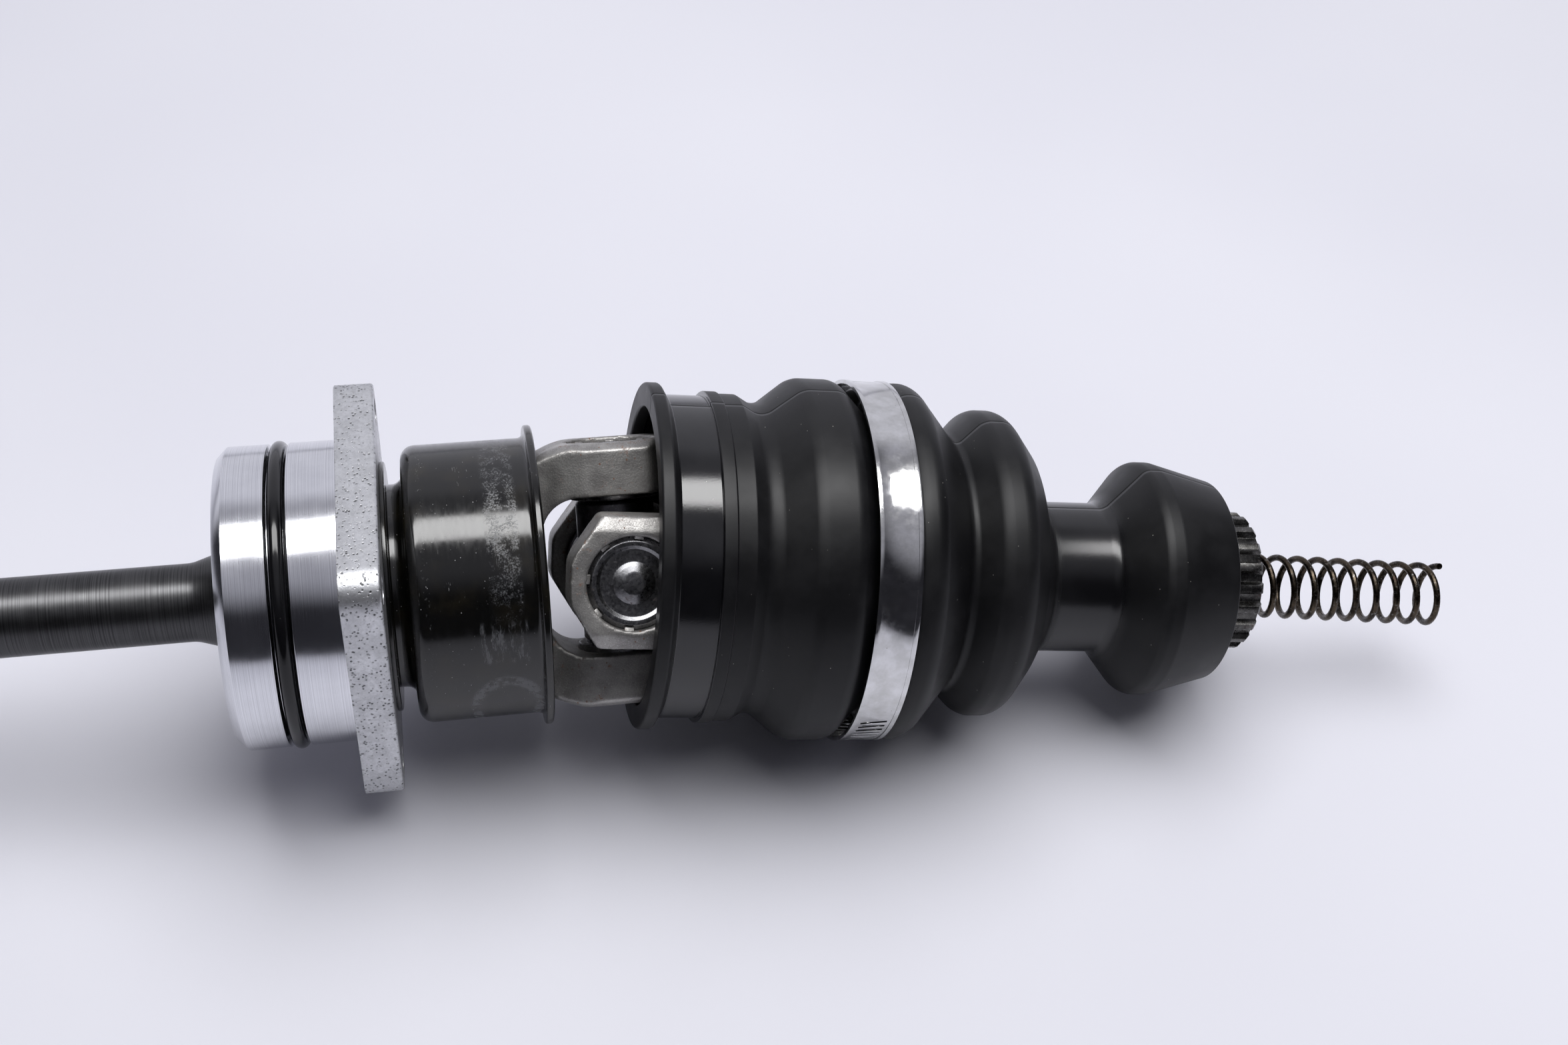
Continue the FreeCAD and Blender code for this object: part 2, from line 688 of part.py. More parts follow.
def input_yoke():
    """Forged yoke with its neck, seal journal and the blind bore that takes the shaft's stub."""
    left = bearing_right - JOINT_X
    journal_right = left + SEAL_JOURNAL_LENGTH
    hub = turned(
        [
            (left, 0),
            (left, SEAL_JOURNAL_RADIUS - JOURNAL_CHAMFER),
            (left + JOURNAL_CHAMFER, SEAL_JOURNAL_RADIUS),
            (journal_right, SEAL_JOURNAL_RADIUS),
            (journal_right + JOURNAL_CHAMFER, YOKE_NECK_RADIUS, JOURNAL_CHAMFER),
            (-FORK_LENGTH, YOKE_NECK_RADIUS),
            (-FORK_LENGTH, 0),
        ]
    )
    bore = rod(SHAFT_STUB_RADIUS + PRESS_GAP, left, left + SHAFT_STUB_LENGTH + SLACK)
    return fork().fuse(hub).cut(bore)


def output_yoke():
    """Forged yoke whose hub takes the splined stub."""
    hub = turned(
        [
            (HUB_ROOT, 0),
            (HUB_ROOT, YOKE_NECK_RADIUS),
            (FORK_LENGTH - JOURNAL_CHAMFER, HUB_RADIUS, JOURNAL_CHAMFER),
            (HUB_END - JOURNAL_CHAMFER, HUB_RADIUS),
            (HUB_END, HUB_RADIUS - JOURNAL_CHAMFER),
            (HUB_END, 0),
        ]
    )
    bore = rod(STUB_SPIGOT_RADIUS + PRESS_GAP, HUB_END - STUB_SPIGOT_LENGTH - SLACK, HUB_END)
    turned_fork = fork().rotated(ORIGIN, ALONG_Z, 180).rotated(ORIGIN, ALONG_X, 90)
    return turned_fork.fuse(hub).cut(bore)


def splined_stub():
    """Machined shank: spigot in the yoke, plain length under the boot's neck, spline and spring bore."""
    spline_start = STUB_END - OUTPUT_SPLINE_LENGTH
    spigot_left = HUB_END - STUB_SPIGOT_LENGTH
    shank = turned(
        [
            (spigot_left, 0),
            (spigot_left, STUB_SPIGOT_RADIUS - STUB_END_CHAMFER),
            (spigot_left + STUB_END_CHAMFER, STUB_SPIGOT_RADIUS),
            (HUB_END, STUB_SPIGOT_RADIUS),
            (HUB_END, SHANK_RADIUS - STUB_END_CHAMFER),
            (HUB_END + STUB_END_CHAMFER, SHANK_RADIUS),
            (spline_start, SHANK_RADIUS),
            (spline_start, 0),
        ]
    )
    teeth = splined_rod(spline_start, STUB_END, OUTPUT_SPLINE_RADIUS, OUTPUT_TOOTH_HEIGHT, OUTPUT_TEETH)
    lead = turned(
        [
            (spline_start, 0),
            (spline_start, SHANK_RADIUS),
            (spline_start + OUTPUT_TOOTH_HEIGHT, OUTPUT_SPLINE_RADIUS),
            (STUB_END - STUB_END_CHAMFER, OUTPUT_SPLINE_RADIUS),
            (STUB_END, OUTPUT_SPLINE_RADIUS - STUB_END_CHAMFER),
            (STUB_END, 0),
        ]
    )
    bore = turned(
        [
            (STUB_END - SPRING_BORE_DEPTH, 0),
            (STUB_END - SPRING_BORE_DEPTH, SPRING_BORE_RADIUS),
            (STUB_END - STUB_END_CHAMFER, SPRING_BORE_RADIUS),
            (STUB_END, SPRING_BORE_RADIUS + STUB_END_CHAMFER),
            (STUB_END, 0),
        ]
    )
    return shank.fuse(teeth.common(lead)).cut(bore)


def cup():
    """Bearing cup along X, closed at its outer end with a rounded shoulder and a centre dome."""
    shoulder = CUP_RADIUS - CUP_SHOULDER_WIDTH
    return turned(
        [
            (CUP_OPEN_END, cup_bore_radius),
            (CUP_OPEN_END, CUP_RADIUS - PRESS_GAP),
            (cup_face - CUP_SHOULDER_DROP, CUP_RADIUS - PRESS_GAP, CUP_SHOULDER_DROP / 2),
            (cup_face, shoulder, CUP_SHOULDER_DROP / 2),
            (cup_face, CUP_DOME_RADIUS),
            (cup_face + CUP_DOME_HEIGHT, CUP_DOME_RADIUS - 2 * CUP_DOME_HEIGHT, CUP_DOME_HEIGHT),
            (cup_face + CUP_DOME_HEIGHT, 0),
            (cup_face - CUP_FLOOR, 0),
            (cup_face - CUP_FLOOR, cup_bore_radius),
        ]
    )


def cup_needles():
    """Needles of one cup, along X."""
    start = CUP_OPEN_END + CUP_SEAL_WIDTH + SLACK
    needle = rod(NEEDLE_RADIUS, start, start + NEEDLE_LENGTH)
    needle.translate(ALONG_Z * needle_path_radius)
    return around(needle, NEEDLE_COUNT)


def cup_seal():
    """Rubber ring in a cup's open end."""
    return ring(
        CUP_OPEN_END + RUNNING_GAP,
        CUP_OPEN_END + CUP_SEAL_WIDTH,
        TRUNNION_RADIUS + RUNNING_GAP,
        cup_bore_radius - PRESS_GAP,
    )


def on_ears(shapes, axis_turns):
    """Return shapes drawn along X, set along both directions of a pin axis."""
    placed = []
    for axis, angle in axis_turns:
        for shape in shapes:
            placed.append(shape.rotated(ORIGIN, axis, angle))
    return Part.makeCompound(placed)


FIRST_PIN = ((ALONG_Y, -90), (ALONG_Y, 90))
SECOND_PIN = ((ALONG_Z, -90), (ALONG_Z, 90))


def trunnion():
    """One arm of the cross along X: boss and ground trunnion."""
    end = cup_face - CUP_FLOOR - TRUNNION_END_GAP
    boss_end = CUP_OPEN_END - BOSS_END_GAP
    return turned(
        [
            (0, 0),
            (0, BOSS_RADIUS),
            (boss_end - TRUNNION_CHAMFER, BOSS_RADIUS),
            (boss_end, BOSS_RADIUS - TRUNNION_CHAMFER),
            (boss_end, TRUNNION_RADIUS),
            (end - TRUNNION_CHAMFER, TRUNNION_RADIUS),
            (end, TRUNNION_RADIUS - TRUNNION_CHAMFER),
            (end, GREASE_HOLE_RADIUS),
            (boss_end, GREASE_HOLE_RADIUS),
            (boss_end - GREASE_HOLE_RADIUS, 0),
        ]
    )


def joint_cross():
    """Cross with a rounded core and four arms."""
    cross = Part.makeSphere(CROSS_CORE_RADIUS)
    for axis, angle in FIRST_PIN + SECOND_PIN:
        cross = cross.fuse(trunnion().rotated(ORIGIN, axis, angle))
    return cross


def preload_spring():
    """Compression spring that stands on the floor of the stub's bore and droops a little outside it."""
    path_radius = SPRING_RADIUS - SPRING_WIRE_RADIUS
    length = SPRING_BORE_DEPTH + SPRING_STANDOUT - SPRING_SEAT_GAP - 2 * SPRING_WIRE_RADIUS
    coils = Part.makeHelix(SPRING_PITCH, length, path_radius)
    section = Part.Wire(
        Part.makeCircle(SPRING_WIRE_RADIUS, FreeCAD.Vector(path_radius, 0, 0), ALONG_Y)
    )
    wire = Part.Wire(coils).makePipeShell([section], True, True)
    wire.rotate(ORIGIN, ALONG_Y, 90)
    wire.translate(ALONG_X * (SPRING_WIRE_RADIUS + SPRING_SEAT_GAP - SPRING_BORE_DEPTH))
    upward = ride / BOOT_RIDE
    wire.rotate(ORIGIN, upward.cross(ALONG_X), SPRING_DROOP)
    wire.translate(ALONG_X * STUB_END - upward * SPRING_MOUTH_SAG)
    return wire


def boot_bellows(wall):
    """Turned form of the boot's mouth and bellows, its skin set in by wall."""
    seat_left = BOOT_START + BOOT_LIP_THICKNESS
    lip_radius = boot_seat_radius + BOOT_LIP_RISE
    step_left = seat_left + BOOT_SEAT_RAMP + BOOT_SEAT_WIDTH
    step_right = step_left + BOOT_STEP_WIDTH
    second_right = step_right + BOOT_SECOND_STEP_WIDTH
    step_radius = boot_seat_radius + BOOT_STEP_RISE
    second_radius = step_radius - BOOT_SECOND_STEP_DROP
    if wall == 0:
        corners = [
            (BOOT_START, 0),
            (BOOT_START, lip_radius, BOOT_LIP_ROUND),
            (seat_left, lip_radius, BOOT_LIP_ROUND),
            (seat_left + BOOT_SEAT_RAMP, boot_seat_radius),
            (step_left, boot_seat_radius),
            (step_left, step_radius),
            (step_right, step_radius),
            (step_right, second_radius),
            (second_right, second_radius),
        ]
    else:
        corners = [
            (BOOT_START, 0),
            (BOOT_START, boot_mouth_radius),
            (BOOT_START + BOOT_MOUTH_DEPTH, boot_mouth_radius),
            (BOOT_START + BOOT_MOUTH_DEPTH, boot_seat_radius - wall),
            (second_right - wall, boot_seat_radius - wall),
        ]
    for (valley_x, valley_radius), (crest_x, crest_radius, half_crest) in zip(BOOT_VALLEYS, BOOT_CRESTS):
        crest_round = max(BOOT_CREST_ROUND - wall, BOOT_VALLEY_ROUND)
        corners.append((valley_x, valley_radius - wall, BOOT_VALLEY_ROUND))
        corners.append((crest_x - half_crest, crest_radius - wall, crest_round))
        corners.append((crest_x + half_crest, crest_radius - wall, crest_round))
    corners.append((BOOT_SHOULDER_START, BOOT_SHOULDER_RADIUS - wall))
    corners.append((BOOT_SHOULDER_START, 0))
    return turned(corners)


def boot_form(wall, collar_wall):
    """Solid form of the whole boot, its skin set in by its walls."""
    bellows = boot_bellows(wall)
    bellows.translate(ride)
    shoulder_circle = Part.makeCircle(
        BOOT_SHOULDER_RADIUS - wall, ALONG_X * BOOT_SHOULDER_START + ride, ALONG_X
    )
    neck_circle = Part.makeCircle(neck_radius - wall, ALONG_X * BOOT_SHOULDER_END, ALONG_X)
    shoulder = Part.makeLoft([Part.Wire(shoulder_circle), Part.Wire(neck_circle)], True, True)
    flat = BOOT_COLLAR_FLAT / 2
    tail = turned(
        [
            (BOOT_SHOULDER_END, 0),
            (BOOT_SHOULDER_END, neck_radius - wall),
            (BOOT_NECK_END, neck_radius - wall, BOOT_COLLAR_ROUND),
            (BOOT_COLLAR_PEAK - flat, BOOT_COLLAR_RADIUS - collar_wall, BOOT_COLLAR_ROUND),
            (BOOT_COLLAR_PEAK + flat, BOOT_COLLAR_RADIUS - collar_wall, BOOT_COLLAR_ROUND),
            (BOOT_END, BOOT_END_RADIUS - collar_wall),
            (BOOT_END, 0),
        ]
    )
    return bellows.fuse(shoulder).fuse(tail)


def boot():
    """Moulded rubber boot, open at its mouth and at its collar."""
    return boot_form(0, 0).cut(boot_form(BOOT_WALL, BOOT_COLLAR_WALL))


def clamp_angle(shape, angle):
    """Turn a shape drawn at +Z about the clamp's axis, from the near side down and round the back."""
    return shape.rotated(ORIGIN, ALONG_X, 90 - BOOT_RIDE_ANGLE + angle)


def clamp_layer(inner_radius, outer_radius, start_angle, stop_angle):
    """Part of a band between two angles."""
    half = CLAMP_WIDTH / 2
    face = outline_face(
        [(-half, inner_radius), (-half, outer_radius), (half, outer_radius), (half, inner_radius)]
    )
    face.rotate(ORIGIN, ALONG_X, 90)
    return clamp_angle(face, start_angle).revolve(ORIGIN, ALONG_X, stop_angle - start_angle)


def clamp_band():
    """Steel band with rolled edges, an overlapping tail and a row of slanted slots."""
    half = CLAMP_WIDTH / 2
    outer = clamp_outer_radius
    band = turned(
        [
            (-half, CLAMP_INNER_RADIUS),
            (-half, outer + CLAMP_BEAD_HEIGHT),
            (CLAMP_BEAD_WIDTH - half, outer + CLAMP_BEAD_HEIGHT),
            (CLAMP_BEAD_WIDTH - half, outer),
            (half - CLAMP_BEAD_WIDTH, outer),
            (half - CLAMP_BEAD_WIDTH, outer + CLAMP_BEAD_HEIGHT),
            (half, outer + CLAMP_BEAD_HEIGHT),
            (half, CLAMP_INNER_RADIUS),
        ]
    )
    tail = clamp_layer(outer, outer + CLAMP_BAND_THICKNESS, CLAMP_TAIL_START, CLAMP_TAIL_END)
    band = band.fuse(tail)
    slot_reach = 2 * CLAMP_BAND_THICKNESS
    slot = Part.makeBox(CLAMP_SLOT_LENGTH, CLAMP_SLOT_WIDTH, 2 * slot_reach)
    slot.translate(FreeCAD.Vector(-CLAMP_SLOT_LENGTH / 2, -CLAMP_SLOT_WIDTH / 2, outer - slot_reach))
    slot.rotate(ORIGIN, ALONG_Z, CLAMP_SLOT_SLANT)
    step = (CLAMP_SLOT_END - CLAMP_SLOT_START) / (CLAMP_SLOT_COUNT - 1)
    slots = [clamp_angle(slot, CLAMP_SLOT_START + step * index) for index in range(CLAMP_SLOT_COUNT)]
    return band.cut(Part.makeCompound(slots))


def worm_centre():
    """Radius at which the clamp's worm screw runs."""
    return clamp_outer_radius + CLAMP_BAND_THICKNESS + SLACK + WORM_RADIUS


def clamp_housing():
    """Arched steel housing that holds the worm screw over the band."""
    centre = worm_centre()
    top = centre + WORM_RADIUS + SLACK + HOUSING_WALL
    half_width = HOUSING_WIDTH / 2
    half_length = HOUSING_LENGTH / 2
    arch_round = WORM_RADIUS + SLACK + HOUSING_WALL
    saddle = clamp_outer_radius + 2 * CLAMP_BAND_THICKNESS + HOUSING_WALL
    edge_round = HOUSING_WALL / 2
    face = outline_face(
        [
            (-half_width, CLAMP_INNER_RADIUS),
            (-half_width, saddle, edge_round),
            (-arch_round, saddle, edge_round),
            (-arch_round, top, arch_round - edge_round),
            (arch_round, top, arch_round - edge_round),
            (arch_round, saddle, edge_round),
            (half_width, saddle, edge_round),
            (half_width, CLAMP_INNER_RADIUS),
        ]
    )
    face.rotate(ORIGIN, ALONG_X, 90)
    face.translate(ALONG_Y * half_length)
    block = face.extrude(ALONG_Y * -HOUSING_LENGTH)
    seat = clamp_outer_radius + CLAMP_BEAD_HEIGHT + PRESS_GAP
    block = block.cut(ring(-HOUSING_WIDTH, HOUSING_WIDTH, CLAMP_INNER_RADIUS / 2, seat))
    passage = CLAMP_WIDTH / 2 + SLACK
    tail_top = clamp_outer_radius + CLAMP_BAND_THICKNESS + PRESS_GAP
    block = block.cut(ring(-passage, passage, CLAMP_INNER_RADIUS / 2, tail_top))
    run = WORM_LENGTH / 2 - HOUSING_WALL
    barrel = Part.makeCylinder(
        WORM_RADIUS + SLACK, 2 * run, FreeCAD.Vector(0, -run, centre), ALONG_Y
    )
    window_corner = FreeCAD.Vector(-WORM_RADIUS, -run, CLAMP_INNER_RADIUS)
    window = Part.makeBox(2 * WORM_RADIUS, 2 * run, centre - CLAMP_INNER_RADIUS, window_corner)
    journal = Part.makeCylinder(
        WORM_JOURNAL_RADIUS + RUNNING_GAP, HOUSING_LENGTH, FreeCAD.Vector(0, -half_length, centre), ALONG_Y
    )
    block = block.cut(barrel).cut(window).cut(journal)
    return clamp_angle(block, CLAMP_HOUSING_ANGLE)


def clamp_screw():
    """Worm screw with its journals and a slotted hexagon head."""
    centre = worm_centre()
    run = WORM_LENGTH / 2 - HOUSING_WALL - SLACK
    half_length = HOUSING_LENGTH / 2
    head_start = half_length + SLACK
    head_stop = head_start + WORM_HEAD_LENGTH
    worm = turned(
        [
            (-half_length, 0),
            (-half_length, WORM_JOURNAL_RADIUS),
            (-run, WORM_JOURNAL_RADIUS),
            (-run, WORM_RADIUS),
            (run, WORM_RADIUS),
            (run, WORM_JOURNAL_RADIUS),
            (head_start, WORM_JOURNAL_RADIUS),
            (head_start, 0),
        ]
    )
    points = []
    for index in range(WORM_HEAD_SIDES + 1):
        angle = 2 * math.pi * index / WORM_HEAD_SIDES
        across = WORM_HEAD_RADIUS * math.cos(angle)
        upward = WORM_HEAD_RADIUS * math.sin(angle)
        points.append(FreeCAD.Vector(head_start, across, upward))
    head = Part.Face(Part.makePolygon(points)).extrude(ALONG_X * WORM_HEAD_LENGTH)
    slot = Part.makeBox(
        WORM_SLOT_DEPTH,
        WORM_SLOT_WIDTH,
        2 * WORM_HEAD_RADIUS,
        FreeCAD.Vector(head_stop - WORM_SLOT_DEPTH, -WORM_SLOT_WIDTH / 2, -WORM_HEAD_RADIUS),
    )
    screw = worm.fuse(head.cut(slot))
    screw.rotate(ORIGIN, ALONG_Z, 90)
    screw.translate(ALONG_Z * centre)
    return clamp_angle(screw, CLAMP_HOUSING_ANGLE)


row_frame = FreeCAD.Placement()
clamp_frame = output_frame.multiply(
    FreeCAD.Placement(ALONG_X * CLAMP_PLACE + ride, FreeCAD.Rotation())
)

PIECES = {
    "bearing_holder": (bearing_holder(), row_frame),
    "holder_o_ring": (holder_o_ring(), row_frame),
    "bearing_outer_ring": (bearing_outer_ring(), row_frame),
    "bearing_inner_ring": (bearing_inner_ring(), row_frame),
    "bearing_balls": (bearing_balls(), row_frame),
    "bearing_cage": (bearing_cage(), row_frame),
    "bearing_circlip": (bearing_circlip(), row_frame),
    "shaft_circlip": (shaft_circlip(), row_frame),
    "oil_seal": (oil_seal(), row_frame),
    "joint_cover": (joint_cover(), row_frame),
    "input_shaft": (input_shaft(), row_frame),
    "input_yoke": (input_yoke(), input_frame),
    "input_cups": (on_ears([cup()], FIRST_PIN), input_frame),
    "input_needles": (on_ears(cup_needles(), FIRST_PIN), input_frame),
    "input_cup_seals": (on_ears([cup_seal()], FIRST_PIN), input_frame),
    "joint_cross": (joint_cross(), cross_frame),
    "output_yoke": (output_yoke(), output_frame),
    "output_cups": (on_ears([cup()], SECOND_PIN), output_frame),
    "output_needles": (on_ears(cup_needles(), SECOND_PIN), output_frame),
    "output_cup_seals": (on_ears([cup_seal()], SECOND_PIN), output_frame),
    "splined_stub": (splined_stub(), output_frame),
    "preload_spring": (preload_spring(), output_frame),
    "boot": (boot(), output_frame),
    "clamp_band": (clamp_band(), clamp_frame),
    "clamp_housing": (clamp_housing(), clamp_frame),
    "clamp_screw": (clamp_screw(), clamp_frame),
}

os.makedirs("parts", exist_ok=True)
for name, (shape, frame) in PIECES.items():
    shape.transformed(frame.toMatrix()).exportStep(f"parts/{name}.step")
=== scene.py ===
"""Looks of a drive shaft: bearing holder, covered universal joint, rubber boot, clamp, spline and spring.

Sizes are millimetres and turn to metres where a mesh is made. X runs along the input shaft towards the
spring and Z is up. Pieces past the joint are drawn straight, about the joint's centre, and then placed.
"""

import logging
import math
from collections.abc import Callable, Sequence
from dataclasses import dataclass
from enum import Enum

import bmesh
import bpy
from mathutils import Matrix, Vector


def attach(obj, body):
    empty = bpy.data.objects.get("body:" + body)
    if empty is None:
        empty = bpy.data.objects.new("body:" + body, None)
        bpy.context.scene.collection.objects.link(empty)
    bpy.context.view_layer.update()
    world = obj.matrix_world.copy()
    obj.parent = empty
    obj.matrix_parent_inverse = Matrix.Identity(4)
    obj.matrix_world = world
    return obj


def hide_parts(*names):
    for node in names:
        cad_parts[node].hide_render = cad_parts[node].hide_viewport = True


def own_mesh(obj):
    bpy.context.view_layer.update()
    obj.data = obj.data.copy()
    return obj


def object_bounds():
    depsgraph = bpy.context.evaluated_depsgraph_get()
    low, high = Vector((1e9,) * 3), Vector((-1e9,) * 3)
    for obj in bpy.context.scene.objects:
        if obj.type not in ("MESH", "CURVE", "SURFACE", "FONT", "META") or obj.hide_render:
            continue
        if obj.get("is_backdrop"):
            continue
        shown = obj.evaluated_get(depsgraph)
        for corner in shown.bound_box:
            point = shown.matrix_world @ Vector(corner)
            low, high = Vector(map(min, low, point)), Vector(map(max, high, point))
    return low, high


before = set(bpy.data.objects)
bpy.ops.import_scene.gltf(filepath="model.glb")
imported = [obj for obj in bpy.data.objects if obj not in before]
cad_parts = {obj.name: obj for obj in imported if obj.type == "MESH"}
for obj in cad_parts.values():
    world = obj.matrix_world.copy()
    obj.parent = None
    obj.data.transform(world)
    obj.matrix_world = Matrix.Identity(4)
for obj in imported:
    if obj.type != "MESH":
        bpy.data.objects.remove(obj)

logging.basicConfig(level=logging.INFO, format="%(message)s")
LOG = logging.getLogger("drive_shaft")

MM = 0.001
JOINT_X = 64.6
PIN_LEAN = 38.5
REST_PITCH = 1.28
REST_YAW = -6.08
RIDE_ANGLE = 6.5

X_AXIS = Vector((1, 0, 0))
INPUT_FRAME = Matrix.Translation((JOINT_X * MM, 0, 0)) @ Matrix.Rotation(math.radians(-PIN_LEAN), 4, "X")
CROSS_FRAME = INPUT_FRAME @ Matrix.Rotation(math.radians(REST_PITCH), 4, "Z")
OUTPUT_FRAME = CROSS_FRAME @ Matrix.Rotation(math.radians(-REST_YAW), 4, "Y")
RIDE = Vector((0, math.sin(math.radians(RIDE_ANGLE)), math.cos(math.radians(RIDE_ANGLE))))

Socket = bpy.types.NodeSocket
Colour = tuple[float, float, float, float]


class Body(Enum):
    """The moving bodies that pieces ride on."""

    HOLDER = "holder"
    CAGE = "cage"
    INPUT = "input"
    CROSS = "cross"
    OUTPUT = "output"
    SPRING = "spring"
    BOOT = "boot"
    WORM = "worm"


@dataclass(frozen=True)
class Corner:
    """A corner of a turned profile: station, radius and how far it is rounded."""

    x: float
    r: float
    rounding: float = 0.0


def linear(code: str) -> Colour:
    """Turn an sRGB hex colour into linear RGBA.

    Args:
        code: Six hex digits, with or without a leading hash.

    Returns:
        The linear colour with full alpha.
    """
    channels = [int(code.lstrip("#")[place : place + 2], 16) / 255 for place in (0, 2, 4)]
    curve = [c / 12.92 if c <= 0.04045 else ((c + 0.055) / 1.055) ** 2.4 for c in channels]
    return (curve[0], curve[1], curve[2], 1.0)


# Modelling


def fresh_start() -> None:
    """Leave edit mode and deselect everything."""
    if bpy.context.object is not None and bpy.context.object.mode != "OBJECT":
        bpy.ops.object.mode_set(mode="OBJECT")
    bpy.ops.object.select_all(action="DESELECT")


def only(piece: bpy.types.Object) -> None:
    """Select one piece alone and make it active."""
    fresh_start()
    piece.select_set(True)
    bpy.context.view_layer.objects.active = piece


def pick_vertices(points: Sequence[Vector]) -> None:
    """Select, in edit mode, the vertex nearest to each point and nothing else."""
    mesh = bpy.context.object.data
    bpy.ops.mesh.select_mode(type="VERT")
    edit = bmesh.from_edit_mesh(mesh)
    for vertex in edit.verts:
        vertex.select = False
    edit.select_flush(False)
    for point in points:
        nearest = min(edit.verts, key=lambda vertex: (vertex.co - point).length_squared)
        nearest.select = True
    edit.select_flush_mode()
    bmesh.update_edit_mesh(mesh)


def pick_edges(wanted: Callable[[Vector, Vector], bool]) -> None:
    """Select, in edit mode, the edges whose two ends pass a test."""
    mesh = bpy.context.object.data
    bpy.ops.mesh.select_mode(type="EDGE")
    edit = bmesh.from_edit_mesh(mesh)
    for edge in edit.edges:
        edge.select = wanted(edge.verts[0].co, edge.verts[1].co)
    edit.select_flush_mode()
    bmesh.update_edit_mesh(mesh)


def smooth(piece: bpy.types.Object, degrees: float = 32.0) -> None:
    """Shade a piece smooth, except across edges sharper than an angle."""
    only(piece)
    bpy.ops.object.shade_smooth_by_angle(angle=math.radians(degrees))


def place(piece: bpy.types.Object, matrix: Matrix) -> None:
    """Move a piece and put its place in its mesh, so that its object stays at the origin."""
    piece.matrix_world = matrix
    only(piece)
    bpy.ops.object.transform_apply(location=True, rotation=True, scale=True)


def apply(piece: bpy.types.Object, kind: str, **settings: object) -> None:
    """Add a modifier with its settings and apply it."""
    only(piece)
    modifier = piece.modifiers.new(kind.lower(), kind)
    for key, value in settings.items():
        setattr(modifier, key, value)
    bpy.ops.object.modifier_apply(modifier=modifier.name)


def tidy_mesh(piece: bpy.types.Object, reach: float = 1e-6) -> None:
    """Merge doubles and turn all faces outwards."""
    only(piece)
    bpy.ops.object.mode_set(mode="EDIT")
    bpy.ops.mesh.select_all(action="SELECT")
    bpy.ops.mesh.remove_doubles(threshold=reach)
    bpy.ops.mesh.normals_make_consistent(inside=False)
    bpy.ops.object.mode_set(mode="OBJECT")


def profile_wire(name: str, corners: Sequence[Corner], closed: bool, segments: int) -> bpy.types.Object:
    """Draw a profile in the XZ plane from one vertex, by extruding it, and round its corners.

    Args:
        name: Name of the new piece.
        corners: The profile's corners in order.
        closed: Whether the last corner joins the first.
        segments: Segments of each rounding.

    Returns:
        The piece, in edit mode, all selected.
    """
    fresh_start()
    bpy.ops.mesh.primitive_plane_add(size=MM)
    piece = bpy.context.object
    piece.name = name
    bpy.ops.object.mode_set(mode="EDIT")
    bpy.ops.mesh.select_mode(type="VERT")
    bpy.ops.mesh.select_all(action="SELECT")
    bpy.ops.mesh.merge(type="CENTER")
    points = [Vector((corner.x * MM, 0, corner.r * MM)) for corner in corners]
    bpy.ops.transform.translate(value=points[0])
    for here, there in zip(points, points[1:]):
        bpy.ops.mesh.extrude_region_move(TRANSFORM_OT_translate={"value": tuple(there - here)})
    if closed:
        pick_vertices([points[0], points[-1]])
        bpy.ops.mesh.edge_face_add()
    count = len(points)
    for index, corner in enumerate(corners):
        if corner.rounding <= 0:
            continue
        back = (points[index - 1] - points[index]).normalized()
        ahead = (points[(index + 1) % count] - points[index]).normalized()
        reach = corner.rounding * MM / math.tan(back.angle(ahead) / 2)
        pick_vertices([points[index]])
        bpy.ops.mesh.bevel(
            offset_type="OFFSET", offset=reach, segments=segments, profile=0.5, affect="VERTICES"
        )
    bpy.ops.mesh.select_all(action="SELECT")
    return piece


def turned(
    name: str, corners: Sequence[Corner], steps: int = 96, closed: bool = True, segments: int = 6
) -> bpy.types.Object:
    """Spin a profile about the X axis.

    Args:
        name: Name of the new piece.
        corners: The profile's corners in order.
        steps: Steps of the spin.
        closed: Whether the profile is a loop; an open one starts and ends on the axis.
        segments: Segments of each rounding.

    Returns:
        The turned piece, in object mode.
    """
    piece = profile_wire(name, corners, closed, segments)
    bpy.ops.mesh.spin(steps=steps, dupli=False, angle=2 * math.pi, center=(0, 0, 0), axis=(1, 0, 0))
    tidy_mesh(piece)
    smooth(piece)
    return piece


def copied(name: str, node: str, bevel: float = 0.0) -> bpy.types.Object:
    """Copy a solid's mesh to a new piece, merge its triangles and soften its edges.

    Args:
        name: Name of the new piece.
        node: The solid that it copies.
        bevel: Width of the bevel on its sharp edges, in millimetres.

    Returns:
        The new piece.
    """
    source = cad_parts[node]
    piece = bpy.data.objects.new(name, source.data.copy())
    bpy.context.scene.collection.objects.link(piece)
    piece.data.materials.clear()
    only(piece)
    bpy.ops.object.mode_set(mode="EDIT")
    bpy.ops.mesh.select_all(action="SELECT")
    bpy.ops.mesh.remove_doubles(threshold=2e-6)
    bpy.ops.mesh.dissolve_limited(angle_limit=math.radians(0.5))
    bpy.ops.object.mode_set(mode="OBJECT")
    if bevel > 0:
        apply(
            piece,
            "BEVEL",
            width=bevel * MM,
            segments=2,
            limit_method="ANGLE",
            angle_limit=math.radians(38),
            use_clamp_overlap=True,
            harden_normals=False,
        )
    smooth(piece)
    return piece


def cut(piece: bpy.types.Object, tool: bpy.types.Object) -> None:
    """Cut a tool's shape out of a piece and remove the tool."""
    apply(piece, "BOOLEAN", operation="DIFFERENCE", object=tool, solver="EXACT")
    bpy.data.objects.remove(tool)


